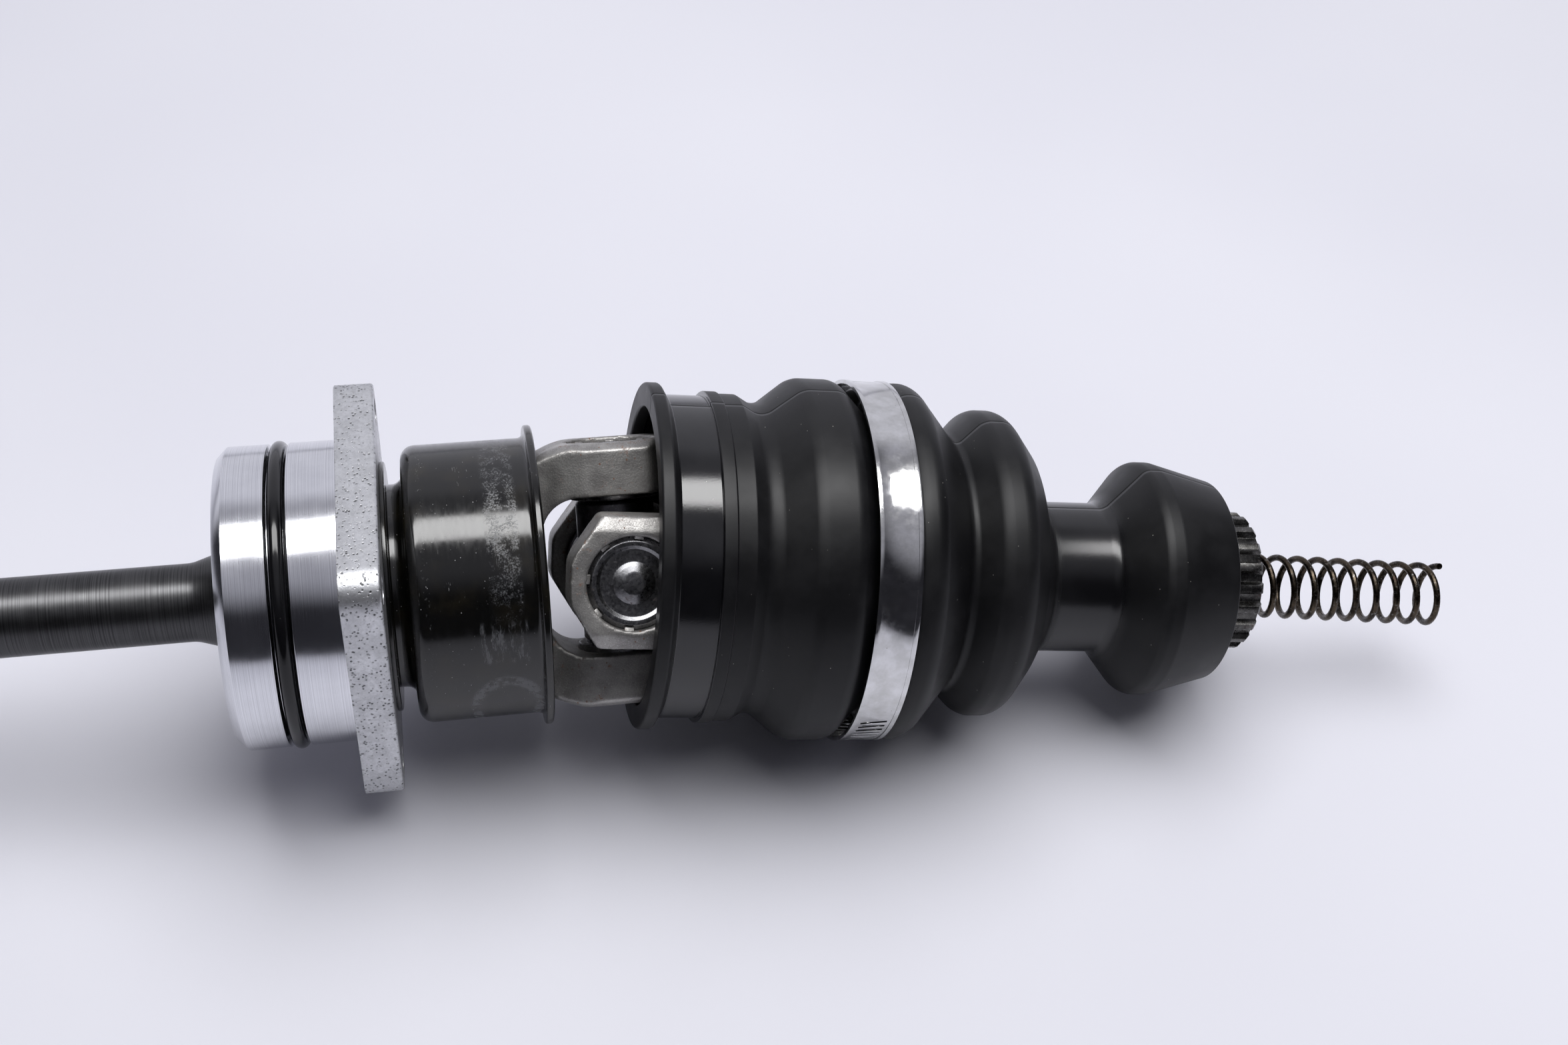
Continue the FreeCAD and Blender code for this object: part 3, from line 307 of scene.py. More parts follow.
def drill(radius: float, start: float, stop: float, y: float = 0.0, z: float = 0.0) -> bpy.types.Object:
    """Return a cylinder along X to cut with, in millimetres."""
    fresh_start()
    bpy.ops.mesh.primitive_cylinder_add(
        vertices=64,
        radius=radius * MM,
        depth=(stop - start) * MM,
        location=((start + stop) / 2 * MM, y * MM, z * MM),
        rotation=(0, math.pi / 2, 0),
    )
    tool = bpy.context.object
    bpy.ops.object.transform_apply(location=True, rotation=True, scale=True)
    return tool


def joined(name: str, pieces: Sequence[bpy.types.Object]) -> bpy.types.Object:
    """Join pieces into one mesh under a name."""
    fresh_start()
    for piece in pieces:
        piece.select_set(True)
    bpy.context.view_layer.objects.active = pieces[0]
    bpy.ops.object.join()
    whole = bpy.context.object
    whole.name = name
    return whole


# Materials


def add_node(
    tree: bpy.types.NodeTree, kind: str, inputs: dict[str | int, object] | None = None, **settings: object
) -> bpy.types.Node:
    """Add a node with its settings, values and links.

    Args:
        tree: The node tree that gets the node.
        kind: The node's type.
        inputs: Sockets by name or number, each with a value or with the socket that feeds it.
        **settings: Properties of the node.

    Returns:
        The new node.
    """
    node = tree.nodes.new(kind)
    for key, value in settings.items():
        setattr(node, key, value)
    for key, value in (inputs or {}).items():
        if isinstance(value, Socket):
            tree.links.new(value, node.inputs[key])
        else:
            node.inputs[key].default_value = value
    return node


class Palette:
    """Shorthand for the nodes of one material's tree, worked out in millimetres."""

    def __init__(self, name: str) -> None:
        """Start a material with a shader and the object's coordinates in millimetres."""
        self.material = bpy.data.materials.new(name)
        self.material.use_nodes = True
        self.tree = self.material.node_tree
        self.shader = self.tree.nodes["Principled BSDF"]
        place_node = add_node(self.tree, "ShaderNodeTexCoord")
        scaled = add_node(
            self.tree,
            "ShaderNodeVectorMath",
            {0: place_node.outputs["Object"], "Scale": 1 / MM},
            operation="SCALE",
        )
        self.place = scaled.outputs["Vector"]

    def math(self, operation: str, first: object, second: object = 0.0, clamp: bool = False) -> Socket:
        """Return the result of a sum on one or two values."""
        node = add_node(
            self.tree, "ShaderNodeMath", {0: first, 1: second}, operation=operation, use_clamp=clamp
        )
        return node.outputs[0]

    def times(self, first: object, second: object) -> Socket:
        """Return the product of two values."""
        return self.math("MULTIPLY", first, second)

    def along(self, direction: Sequence[float], origin: Sequence[float] = (0, 0, 0)) -> Socket:
        """Return how far a point lies along a direction from an origin, in millimetres."""
        moved = add_node(
            self.tree, "ShaderNodeVectorMath", {0: self.place, 1: tuple(origin)}, operation="SUBTRACT"
        )
        node = add_node(
            self.tree,
            "ShaderNodeVectorMath",
            {0: moved.outputs[0], 1: tuple(direction)},
            operation="DOT_PRODUCT",
        )
        return node.outputs["Value"]

    def noise(
        self,
        size: float,
        detail: float = 3.0,
        rough: float = 0.5,
        stretch: Sequence[float] = (1, 1, 1),
        seed: float = 0.0,
    ) -> Socket:
        """Return a cloud pattern whose patches are about size millimetres across."""
        moved = add_node(
            self.tree,
            "ShaderNodeMapping",
            {
                "Vector": self.place,
                "Location": (seed * 37.0, seed * 17.0, seed * 71.0),
                "Scale": tuple(stretch),
            },
        )
        node = add_node(
            self.tree,
            "ShaderNodeTexNoise",
            {"Vector": moved.outputs[0], "Scale": 1.0 / size, "Detail": detail, "Roughness": rough},
        )
        return node.outputs["Fac"]

    def line_noise(self, value: Socket, size: float, detail: float = 3.0, seed: float = 0.0) -> Socket:
        """Return a pattern of lines across one value, about size millimetres wide."""
        node = add_node(
            self.tree,
            "ShaderNodeTexNoise",
            {"W": self.math("ADD", value, seed * 53.0), "Scale": 1.0 / size, "Detail": detail},
            noise_dimensions="1D",
        )
        return node.outputs["Fac"]

    def cells(self, size: float, seed: float = 0.0) -> Socket:
        """Return the distance to scattered points about size millimetres apart, in cell widths."""
        moved = add_node(
            self.tree,
            "ShaderNodeMapping",
            {"Vector": self.place, "Location": (seed * 31.0, seed * 19.0, seed * 43.0)},
        )
        node = add_node(self.tree, "ShaderNodeTexVoronoi", {"Vector": moved.outputs[0], "Scale": 1.0 / size})
        return node.outputs["Distance"]

    def ramp(self, value: Socket, low: float, high: float, start: float = 0.0, stop: float = 1.0) -> Socket:
        """Return a value moved smoothly from one range to another."""
        node = add_node(
            self.tree,
            "ShaderNodeMapRange",
            {"Value": value, "From Min": low, "From Max": high, "To Min": start, "To Max": stop},
            interpolation_type="SMOOTHSTEP",
        )
        return node.outputs["Result"]

    def band(self, value: Socket, centre: float, half_width: float, soft: float) -> Socket:
        """Return 1 where a value is near a centre and 0 away from it."""
        away = self.math("ABSOLUTE", self.math("SUBTRACT", value, centre))
        return self.ramp(away, half_width, half_width + soft, 1.0, 0.0)

    def mix(self, share: object, first: object, second: object) -> Socket:
        """Return a blend of two colours."""
        node = add_node(
            self.tree, "ShaderNodeMix", {"Factor": share, 6: first, 7: second}, data_type="RGBA"
        )
        return node.outputs[2]

    def blend(self, share: object, first: object, second: object) -> Socket:
        """Return a blend of two values."""
        node = add_node(self.tree, "ShaderNodeMix", {0: share, 2: first, 3: second}, data_type="FLOAT")
        return node.outputs[0]

    def bump(
        self, height: Socket, depth: float, strength: float = 1.0, before: Socket | None = None
    ) -> Socket:
        """Return normals bumped by a height pattern, depth in millimetres."""
        inputs: dict[str | int, object] = {"Height": height, "Distance": depth * MM, "Strength": strength}
        if before is not None:
            inputs["Normal"] = before
        return add_node(self.tree, "ShaderNodeBump", inputs).outputs["Normal"]

    def set(self, **inputs: object) -> None:
        """Set or link the shader's sockets, named with spaces for underscores."""
        for key, value in inputs.items():
            socket = self.shader.inputs[key.replace("_", " ")]
            if isinstance(value, Socket):
                self.tree.links.new(value, socket)
            else:
                socket.default_value = value


@dataclass(frozen=True)
class TurnedMetal:
    """Metal off a lathe: rings round X that spread highlights along the part, with pits and marks."""

    name: str
    light: str
    dark: str
    roughness: float
    ring_width: float = 0.35
    ring_depth: float = 0.004
    marks: float = 0.3

    def make(self) -> bpy.types.Material:
        """Build the material."""
        p = Palette(self.name)
        radial = add_node(
            p.tree, "ShaderNodeVectorMath", {0: p.place, 1: (0.0, 1.0, 1.0)}, operation="MULTIPLY"
        )
        length = add_node(p.tree, "ShaderNodeVectorMath", {0: radial.outputs[0]}, operation="LENGTH")
        radius = length.outputs["Value"]
        lathe = p.math("ADD", radius, p.along((1, 0, 0)))
        rings = p.line_noise(lathe, self.ring_width, 4.0)
        wide = p.line_noise(lathe, 6 * self.ring_width, 2.0, 3.0)
        clouds = p.noise(9.0, 4.0, 0.6)
        pits = p.ramp(p.cells(1.7), 0.03, 0.07, 1.0, 0.0)
        spots = p.times(pits, p.ramp(p.noise(12.0, 2.0, seed=4.0), 0.5, 0.62))
        tone = p.math("ADD", p.times(rings, 0.7), p.times(clouds, 0.3))
        colour = p.mix(p.ramp(tone, 0.36, 0.62), linear(self.dark), linear(self.light))
        colour = p.mix(p.times(spots, self.marks), colour, linear("2A2826"))
        rough = p.blend(p.ramp(clouds, 0.35, 0.7), self.roughness * 0.92, self.roughness * 1.12)
        rough = p.math("ADD", rough, p.times(wide, 0.04))
        height = p.math("ADD", rings, p.times(wide, 0.6))
        normal = p.bump(height, self.ring_depth)
        p.set(Base_Color=colour, Metallic=1.0, Roughness=rough, Normal=normal)
        return p.material


@dataclass(frozen=True)
class CastRim:
    """Aluminium as it leaves the mould: light grey skin full of dark pits, bright where it was rubbed."""

    name: str = "cast_aluminium"

    def make(self) -> bpy.types.Material:
        """Build the material."""
        p = Palette(self.name)
        fine = p.noise(0.50, 6.0, 0.8)
        broad = p.noise(6.0, 4.0, 0.65, seed=2.0)
        pits = p.ramp(p.cells(0.95), 0.20, 0.38, 1.0, 0.0)
        gate = p.ramp(p.noise(2.0, 5.0, 0.75, seed=5.0), 0.42, 0.53)
        crowd = p.ramp(broad, 0.70, 0.34)
        specks = p.times(pits, p.times(gate, p.blend(crowd, 0.55, 1.0)))
        mottle = p.ramp(p.noise(1.1, 6.0, 0.8, seed=8.0), 0.44, 0.60)
        worn = p.ramp(broad, 0.40, 0.62)
        colour = p.mix(worn, linear("BEBFC2"), linear("CFD0D3"))
        colour = p.mix(p.times(mottle, 0.22), colour, linear("77787B"))
        colour = p.mix(p.times(specks, 0.9), colour, linear("19191A"))
        rough = p.blend(worn, 0.38, 0.32)
        height = p.math("SUBTRACT", p.times(fine, 0.7), p.times(specks, 0.9))
        normal = p.bump(height, 0.07, 0.85)
        p.set(Base_Color=colour, Metallic=0.85, Roughness=rough, Normal=normal)
        return p.material


@dataclass(frozen=True)
class BlackCover:
    """Stamped steel under glossy black: rub rings, dust, fine scratches and stains show on it as grey."""

    name: str = "black_oxide_steel"

    def make(self) -> bpy.types.Material:
        """Build the material."""
        p = Palette(self.name)
        x = p.along((1, 0, 0))
        up = p.along((0, 0.7071, 0.7071))
        facing = p.along((0, -0.7071, 0.7071))
        front = p.ramp(facing, -6.0, 8.0)
        grit = p.noise(0.42, 6.0, 0.8, seed=1.0)
        streak = p.noise(1.3, 5.0, 0.7, (1.0, 0.25, 0.25), seed=2.0)
        rubs = p.math("ADD", p.band(x, 35.2, 1.3, 2.2), p.band(x, 38.4, 0.55, 1.4), True)
        high = p.ramp(up, -13.0, 3.0)
        flaked = p.times(p.ramp(grit, 0.46, 0.62), p.ramp(p.noise(3.0, 4.0, 0.7, seed=12.0), 0.40, 0.60))
        rubbed = p.times(p.times(rubs, high), flaked)
        patch_x = p.band(x, 35.0, 4.6, 1.6)
        patch_up = p.band(up, -14.5, 3.4, 2.0)
        patch = p.times(p.times(patch_x, patch_up), p.ramp(streak, 0.46, 0.66, 0.0, 0.6))
        low_ring_x = p.math("SUBTRACT", x, 35.0)
        low_ring_u = p.times(p.math("ADD", up, 30.0), 1.15)
        squares = p.math("ADD", p.math("POWER", low_ring_x, 2.0), p.math("POWER", low_ring_u, 2.0))
        stain = p.band(p.math("SQRT", squares), 7.4, 0.55, 1.3)
        stain = p.times(stain, p.ramp(p.noise(2.2, 4.0, 0.7, seed=8.0), 0.36, 0.56))
        marks = p.math("MAXIMUM", p.math("MAXIMUM", rubbed, patch), p.times(stain, 0.5))
        marks = p.times(marks, front)
        dust = p.ramp(p.cells(1.15, 2.0), 0.05, 0.12, 1.0, 0.0)
        dust = p.times(dust, p.ramp(p.noise(4.0, 3.0, seed=6.0), 0.50, 0.66))
        shoulder = p.times(
            p.band(x, 18.4, 0.2, 0.8), p.ramp(p.noise(0.7, 4.0, 0.8, seed=9.0), 0.60, 0.70, 0.0, 0.5)
        )
        hairs = p.ramp(p.noise(0.9, 4.0, 0.6, (4.5, 0.35, 0.35), seed=3.0), 0.66, 0.70)
        hairs = p.times(hairs, p.ramp(p.noise(8.0, 2.0, seed=7.0), 0.55, 0.68))
        flecks = p.math("MAXIMUM", p.math("MAXIMUM", dust, shoulder), hairs)
        tint = p.ramp(p.noise(11.0, 3.0, 0.6, seed=4.0), 0.45, 0.75)
        colour = p.mix(tint, linear("0B0B0A"), linear("1E1B13"))
        colour = p.mix(p.times(marks, 0.62), colour, linear("84868A"))
        colour = p.mix(p.times(flecks, 0.75), colour, linear("B9BABC"))
        rough = p.blend(p.ramp(streak, 0.3, 0.7), 0.11, 0.19)
        rough = p.blend(p.math("MAXIMUM", marks, flecks), rough, 0.55)
        height = p.math("ADD", p.times(grit, 0.2), p.math("MAXIMUM", marks, flecks))
        normal = p.bump(height, 0.012, 0.8)
        p.set(Base_Color=colour, Metallic=0.0, Roughness=rough, Normal=normal, Specular_IOR_Level=0.6)
        return p.material


@dataclass(frozen=True)
class BlastedForging:
    """Forged steel, shot-blasted and dry: an even grey sparkle, with rust where fingers and damp left it."""

    name: str = "forged_steel"

    def make(self) -> bpy.types.Material:
        """Build the material."""
        p = Palette(self.name)
        grain = p.noise(0.34, 5.0, 0.8)
        dimple = p.cells(0.5, 1.0)
        broad = p.noise(8.0, 4.0, 0.6, seed=2.0)
        colour = p.mix(p.ramp(broad, 0.35, 0.68), linear("858381"), linear("A8A6A3"))
        colour = p.mix(p.times(p.ramp(grain, 0.54, 0.70), 0.7), colour, linear("DAD9D6"))
        colour = p.mix(p.times(p.ramp(grain, 0.30, 0.46, 1.0, 0.0), 0.6), colour, linear("4B4948"))
        rust_gate = p.ramp(p.noise(5.0, 5.0, 0.75, seed=5.0), 0.575, 0.65)
        rust = p.times(rust_gate, p.ramp(p.noise(0.8, 5.0, 0.8, seed=6.0), 0.44, 0.56))
        freckles = p.times(
            p.ramp(p.cells(2.1, 4.0), 0.09, 0.16, 1.0, 0.0),
            p.ramp(p.noise(6.0, 2.0, seed=9.0), 0.50, 0.58),
        )
        rust = p.math("MAXIMUM", rust, freckles)
        brown = p.mix(p.noise(1.4, 3.0, seed=7.0), linear("3A2114"), linear("84502C"))
        colour = p.mix(p.times(rust, 0.85), colour, brown)
        rough = p.blend(rust, p.blend(p.ramp(grain, 0.4, 0.7), 0.46, 0.30), 0.8)
        metal = p.blend(rust, 0.72, 0.05)
        height = p.math("ADD", grain, p.times(dimple, 0.5))
        normal = p.bump(height, 0.060, 0.85)
        normal = p.bump(p.noise(3.2, 3.0, seed=3.0), 0.08, 0.5, normal)
        p.set(Base_Color=colour, Metallic=metal, Roughness=rough, Normal=normal)
        return p.material


@dataclass(frozen=True)
class SatinSteel:
    """Hardened or plated steel, ground or pressed: an even satin with faint stains, and rust where asked."""

    name: str
    light: str
    dark: str
    roughness: float
    rust: float = 0.0
    grain: float = 0.5

    def make(self) -> bpy.types.Material:
        """Build the material."""
        p = Palette(self.name)
        fine = p.noise(self.grain, 4.0, 0.65)
        broad = p.noise(5.0, 4.0, 0.6, seed=2.0)
        colour = p.mix(p.ramp(broad, 0.34, 0.66), linear(self.dark), linear(self.light))
        colour = p.mix(p.times(p.ramp(fine, 0.55, 0.75), 0.35), colour, linear("CFCFCE"))
        spots = p.times(
            p.ramp(p.noise(3.4, 5.0, 0.75, seed=5.0), 0.60, 0.66),
            p.ramp(p.noise(0.7, 4.0, 0.8, seed=6.0), 0.42, 0.56),
        )
        spots = p.times(spots, self.rust)
        colour = p.mix(spots, colour, linear("4A2616"))
        rough = p.blend(p.ramp(fine, 0.3, 0.7), self.roughness * 0.85, self.roughness * 1.25)
        rough = p.blend(spots, rough, 0.8)
        normal = p.bump(fine, 0.010, 0.8)
        p.set(Base_Color=colour, Metallic=p.blend(spots, 1.0, 0.1), Roughness=rough, Normal=normal)
        return p.material


@dataclass(frozen=True)
class MouldedRubber:
    """Moulded black rubber: a soft sheen, a faint bloom and pale dust in its skin."""

    name: str
    roughness: float
    dust: float = 0.5
    skin: float = 0.03

    def shade(self, p: Palette) -> tuple[Socket, Socket, Socket]:
        """Lay the rubber's skin.

        Args:
            p: The palette of the material.

        Returns:
            Its colour, roughness and normals.
        """
        fine = p.noise(0.45, 5.0, 0.7)
        bloom = p.noise(14.0, 4.0, 0.6, seed=2.0)
        colour = p.mix(p.ramp(bloom, 0.35, 0.70), linear("0D0D0F"), linear("171719"))
        motes = p.times(
            p.ramp(p.cells(3.1, 3.0), 0.020, 0.055, 1.0, 0.0),
            p.ramp(p.noise(9.0, 2.0, seed=6.0), 0.45, 0.60),
        )
        colour = p.mix(p.times(motes, self.dust), colour, linear("B5B2AC"))
        rough = p.blend(p.ramp(bloom, 0.3, 0.7), self.roughness * 0.92, self.roughness * 1.15)
        normal = p.bump(fine, self.skin, 0.55)
        return colour, rough, normal

    def make(self) -> bpy.types.Material:
        """Build the material."""
        p = Palette(self.name)
        colour, rough, normal = self.shade(p)
        p.set(Base_Color=colour, Roughness=rough, Normal=normal, Specular_IOR_Level=0.4)
        return p.material


@dataclass(frozen=True)
class BootRubber(MouldedRubber):
    """The boot's rubber: its clamp seat is polished by the mould, and a parting line with a painted highlight
    on its ridge runs along its top.
    """

    seat_start: float = 9.3
    seat_stop: float = 19.0
    # Measured about the output shaft, in the joint's own leaning frame.
    seam_angle: float = -17.0

    def make(self) -> bpy.types.Material:
        """Build the material."""
        p = Palette(self.name)
        colour, rough, normal = self.shade(p)
        axes = OUTPUT_FRAME.to_3x3()
        centre = OUTPUT_FRAME.translation / MM
        along = p.along(axes @ X_AXIS, centre)
        seat_half = (self.seat_stop - self.seat_start) / 2
        seat = p.band(along, self.seat_start + seat_half, seat_half, 0.3)
        rough = p.blend(seat, rough, 0.12)
        level = p.blend(seat, 0.28, 0.6)
        neck = p.band(along, 116.0, 7.0, 3.0)
        rough = p.blend(neck, rough, 0.20)
        level = p.blend(neck, level, 0.5)
        turn = math.radians(self.seam_angle)
        side = Vector((0, math.cos(turn), -math.sin(turn)))
        outward = Vector((0, math.sin(turn), math.cos(turn)))
        across = p.along(axes @ side, centre)
        over = p.along(axes @ outward, centre)
        wander = p.times(p.math("SUBTRACT", p.noise(6.0, 3.0, seed=11.0), 0.5), 0.5)
        line = p.band(p.math("ADD", across, wander), 0.0, 0.38, 0.25)
        line = p.times(line, p.ramp(over, 0.0, 4.0))
        colour = p.mix(p.times(line, 0.8), colour, linear("050506"))
        # Painted highlight: a lighter band beside the dark parting line stands in for light catching its flash
        # ridge.
        edge = p.times(p.band(p.math("ADD", across, wander), -0.95, 0.25, 0.30), p.ramp(over, 0.0, 4.0))
        colour = p.mix(p.times(edge, 0.6), colour, linear("505054"))
        step = p.times(p.ramp(across, -0.5, 0.1), p.ramp(over, 0.0, 4.0))
        normal = p.bump(step, 0.22, 1.0, normal)
        p.set(Base_Color=colour, Roughness=rough, Normal=normal, Specular_IOR_Level=level)
        return p.material


@dataclass(frozen=True)
class BandSteel:
    """Cold-rolled stainless strip: mirror bright under fine scratches that run round the clamp."""

    name: str = "stainless_band"

    def make(self) -> bpy.types.Material:
        """Build the material."""
        p = Palette(self.name)
        axes = OUTPUT_FRAME.to_3x3()
        along = p.along(axes @ X_AXIS, OUTPUT_FRAME.translation / MM)
        lines = p.line_noise(along, 0.30, 5.0)
        clouds = p.noise(5.0, 5.0, 0.65)
        smear = p.noise(2.6, 4.0, 0.7, seed=3.0)
        colour = p.mix(p.ramp(clouds, 0.30, 0.72), linear("C4C4C3"), linear("DEDEDF"))
        specks = p.times(
            p.ramp(p.cells(1.9, 3.0), 0.04, 0.09, 1.0, 0.0), p.ramp(p.noise(7.0, 2.0, seed=5.0), 0.50, 0.60)
        )
        colour = p.mix(p.times(specks, 0.7), colour, linear("5A4A3A"))
        rough = p.blend(p.ramp(smear, 0.40, 0.66), 0.10, 0.17)
        normal = p.bump(lines, 0.0025, 0.8)
        normal = p.bump(clouds, 0.02, 0.10, normal)
        p.set(Base_Color=colour, Metallic=1.0, Roughness=rough, Normal=normal)
        return p.material


@dataclass(frozen=True)
class PaleSheet:
    """Smooth white sheet under the object, a little blue in daylight."""

    name: str = "backdrop_sheet"

    def make(self) -> bpy.types.Material:
        """Build the material."""
        p = Palette(self.name)
        soft = p.noise(260.0, 2.0, 0.4)
        colour = p.mix(p.ramp(soft, 0.3, 0.7), linear("E2E2EC"), linear("E8E8F1"))
        p.set(Base_Color=colour, Roughness=0.6, Specular_IOR_Level=0.25)
        return p.material


TURNED_ALUMINIUM = TurnedMetal("turned_aluminium", "E2E3E7", "CDCED3", 0.13, 0.28, 0.0022)
DARK_SHAFT = TurnedMetal("dark_machined_steel", "4E4E4F", "3B3B3C", 0.33, 0.40, 0.0035, 0.5)
SPLINE_STEEL = SatinSteel("oiled_spline_steel", "62615F", "383736", 0.28, 0.35)
CUP_STEEL = SatinSteel("cup_steel", "8C8C8E", "6A6A6C", 0.30, 0.6, 0.7)
GROUND_STEEL = SatinSteel("bearing_steel", "C6C7C9", "ABACAF", 0.17)
RING_STEEL = SatinSteel("phosphated_steel", "3A3A3B", "232324", 0.45)
CROSS_STEEL = SatinSteel("cross_steel", "77767A", "4D4C4F", 0.33, 0.4)
SPRING_STEEL = SatinSteel("spring_wire", "4E453A", "211D19", 0.28, 0.6, 0.8)
ZINC_STEEL = SatinSteel("zinc_screw", "C9C7BF", "9C9A92", 0.26)
CAGE_NYLON = SatinSteel("cage_nylon", "C9BE9C", "B3A783", 0.50)
SEAL_RUBBER = MouldedRubber("seal_rubber", 0.45)
RING_RUBBER = MouldedRubber("nitrile_rubber", 0.13, 0.1, 0.004)
BOOT_RUBBER = BootRubber("boot_rubber", 0.42, 0.7, 0.022)
MADE: dict[str, bpy.types.Material] = {}


def dress(piece: bpy.types.Object, finish: object) -> None:
    """Give a piece one finish, built once and then shared."""
    if finish.name not in MADE:
        MADE[finish.name] = finish.make()
    piece.data.materials.clear()
    piece.data.materials.append(MADE[finish.name])


def hand_over(piece: bpy.types.Object, body: Body, slot: str, *nodes: str) -> None:
    """Let a finished piece ride on its body and stand for its solids."""
    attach(piece, body.value)
    if nodes:
        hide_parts(*nodes)
    LOG.info("%s on %s", piece.name, body.value)


def refinish(node: str, finish: object) -> None:
    """Give a carried-over solid its finish."""
    dress(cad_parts[node], finish)
    LOG.info("%s kept as it is", node)


# Sub-assemblies


@dataclass
class BearingHolder:
    """Cast holder with its O-ring, bearing, retaining ring and oil seal."""

    spigot_radius: float = 36.0
    spigot_length: float = 27.4
    chamfer: float = 2.2
    groove_start: float = -15.85
    groove_stop: float = -11.15
    groove_floor: float = 33.15
    cord_radius: float = 1.75
    core_radius: float = 28.0
    flange_side: float = 74.0
    flange_corner: float = 8.0
    flange_thickness: float = 9.25
    edge_round: float = 0.8
    bolt_spacing: float = 59.4
    bolt_radius: float = 3.3

    def spigot(self) -> bpy.types.Object:
        """Turn the spigot and the stepped bore."""
        left = -self.spigot_length
        face = self.flange_thickness - 0.06
        return turned(
            "holder_spigot",
            [
                Corner(left, 26.8), Corner(left, self.spigot_radius - self.chamfer, 0.15),
                Corner(left + self.chamfer, self.spigot_radius, 0.15),
                Corner(self.groove_start, self.spigot_radius, 0.25),
                Corner(self.groove_start, self.groove_floor, 0.3),
                Corner(self.groove_stop, self.groove_floor, 0.3),
                Corner(self.groove_stop, self.spigot_radius, 0.25), Corner(0.4, self.spigot_radius),
                Corner(0.4, self.core_radius), Corner(face, self.core_radius), Corner(face, 24.9),
                Corner(face - 0.5, 24.4), Corner(1.35, 24.4), Corner(1.35, 23.5), Corner(-7.0, 23.5),
                Corner(-7.0, 22.0), Corner(-9.0, 22.0), Corner(-9.0, 26.0), Corner(-24.0, 26.0),
                Corner(-24.0, 26.95), Corner(-25.3, 26.95), Corner(-25.3, 26.0), Corner(-26.6, 26.0),
            ],
            steps=160,
            segments=3,
        )

    def flange(self) -> bpy.types.Object:
        """Shape the cast square flange from a block: rounded corners, softened rim, bore and bolt holes."""
        fresh_start()
        half = self.flange_side / 2 * MM
        thick = self.flange_thickness * MM
        bpy.ops.mesh.primitive_cube_add(size=1.0, location=(thick / 2, 0, 0))
        plate = bpy.context.object
        plate.name = "holder_flange"
        plate.scale = (thick, 2 * half, 2 * half)
        bpy.ops.object.transform_apply(location=True, rotation=True, scale=True)
        bpy.ops.object.mode_set(mode="EDIT")
        pick_edges(lambda a, b: abs(a.x - b.x) > thick / 2)
        bpy.ops.mesh.bevel(offset=self.flange_corner * MM, segments=14, profile=0.5, affect="EDGES")
        pick_edges(lambda a, b: min(a.x, b.x) > thick - 1e-5)
        bpy.ops.mesh.bevel(offset=self.edge_round * MM, segments=4, profile=0.5, affect="EDGES")
        pick_edges(lambda a, b: max(a.x, b.x) < 1e-5)
        bpy.ops.mesh.bevel(offset=0.25 * MM, segments=2, profile=0.5, affect="EDGES")
        bpy.ops.object.mode_set(mode="OBJECT")
        cut(plate, drill(self.core_radius - 0.05, -2.0, self.flange_thickness + 2.0))
        reach = self.bolt_spacing / 2
        for y in (-reach, reach):
            for z in (-reach, reach):
                cut(plate, drill(self.bolt_radius, -2.0, self.flange_thickness + 2.0, y, z))
        tidy_mesh(plate)
        smooth(plate, 28.0)
        return plate

    def o_ring(self) -> bpy.types.Object:
        """Turn the O-ring, a little flattened on the groove's floor."""
        centre = (self.groove_start + self.groove_stop) / 2
        path = self.spigot_radius + 0.65 - self.cord_radius
        reach = self.cord_radius - 0.01
        corners = []
        for index in range(28):
            angle = 2 * math.pi * index / 28
            radius = max(path + reach * math.sin(angle), self.groove_floor + 0.02)
            corners.append(Corner(centre + reach * math.cos(angle), radius))
        return turned("o_ring", corners, steps=160)

    def build(self) -> None:
        """Build and dress the holder and what it carries."""
        spigot = self.spigot()
        dress(spigot, TURNED_ALUMINIUM)
        hand_over(spigot, Body.HOLDER, "cast_aluminium", "bearing_holder")
        flange = self.flange()
        dress(flange, CastRim())
        hand_over(flange, Body.HOLDER, "cast_aluminium", "bearing_holder")
        seal_ring = self.o_ring()
        dress(seal_ring, RING_RUBBER)
        hand_over(seal_ring, Body.HOLDER, "nitrile_rubber", "holder_o_ring")
        bearings = (
            ("outer_race", "bearing_outer_ring", Body.HOLDER, GROUND_STEEL, "bearing_steel"),
            ("inner_race", "bearing_inner_ring", Body.INPUT, GROUND_STEEL, "bearing_steel"),
            ("ball_set", "bearing_balls", Body.CAGE, GROUND_STEEL, "ball_steel"),
            ("ball_cage", "bearing_cage", Body.CAGE, CAGE_NYLON, "cage_nylon"),
            ("holder_snap_ring", "bearing_circlip", Body.HOLDER, RING_STEEL, "spring_steel"),
            ("shaft_snap_ring", "shaft_circlip", Body.INPUT, RING_STEEL, "spring_steel"),
            ("lip_seal", "oil_seal", Body.HOLDER, SEAL_RUBBER, "seal_rubber"),
        )
        for name, node, body, finish, slot in bearings:
            piece = copied(name, node, 0.0 if node == "bearing_balls" else 0.12)
            dress(piece, finish)
            hand_over(piece, body, slot, node)


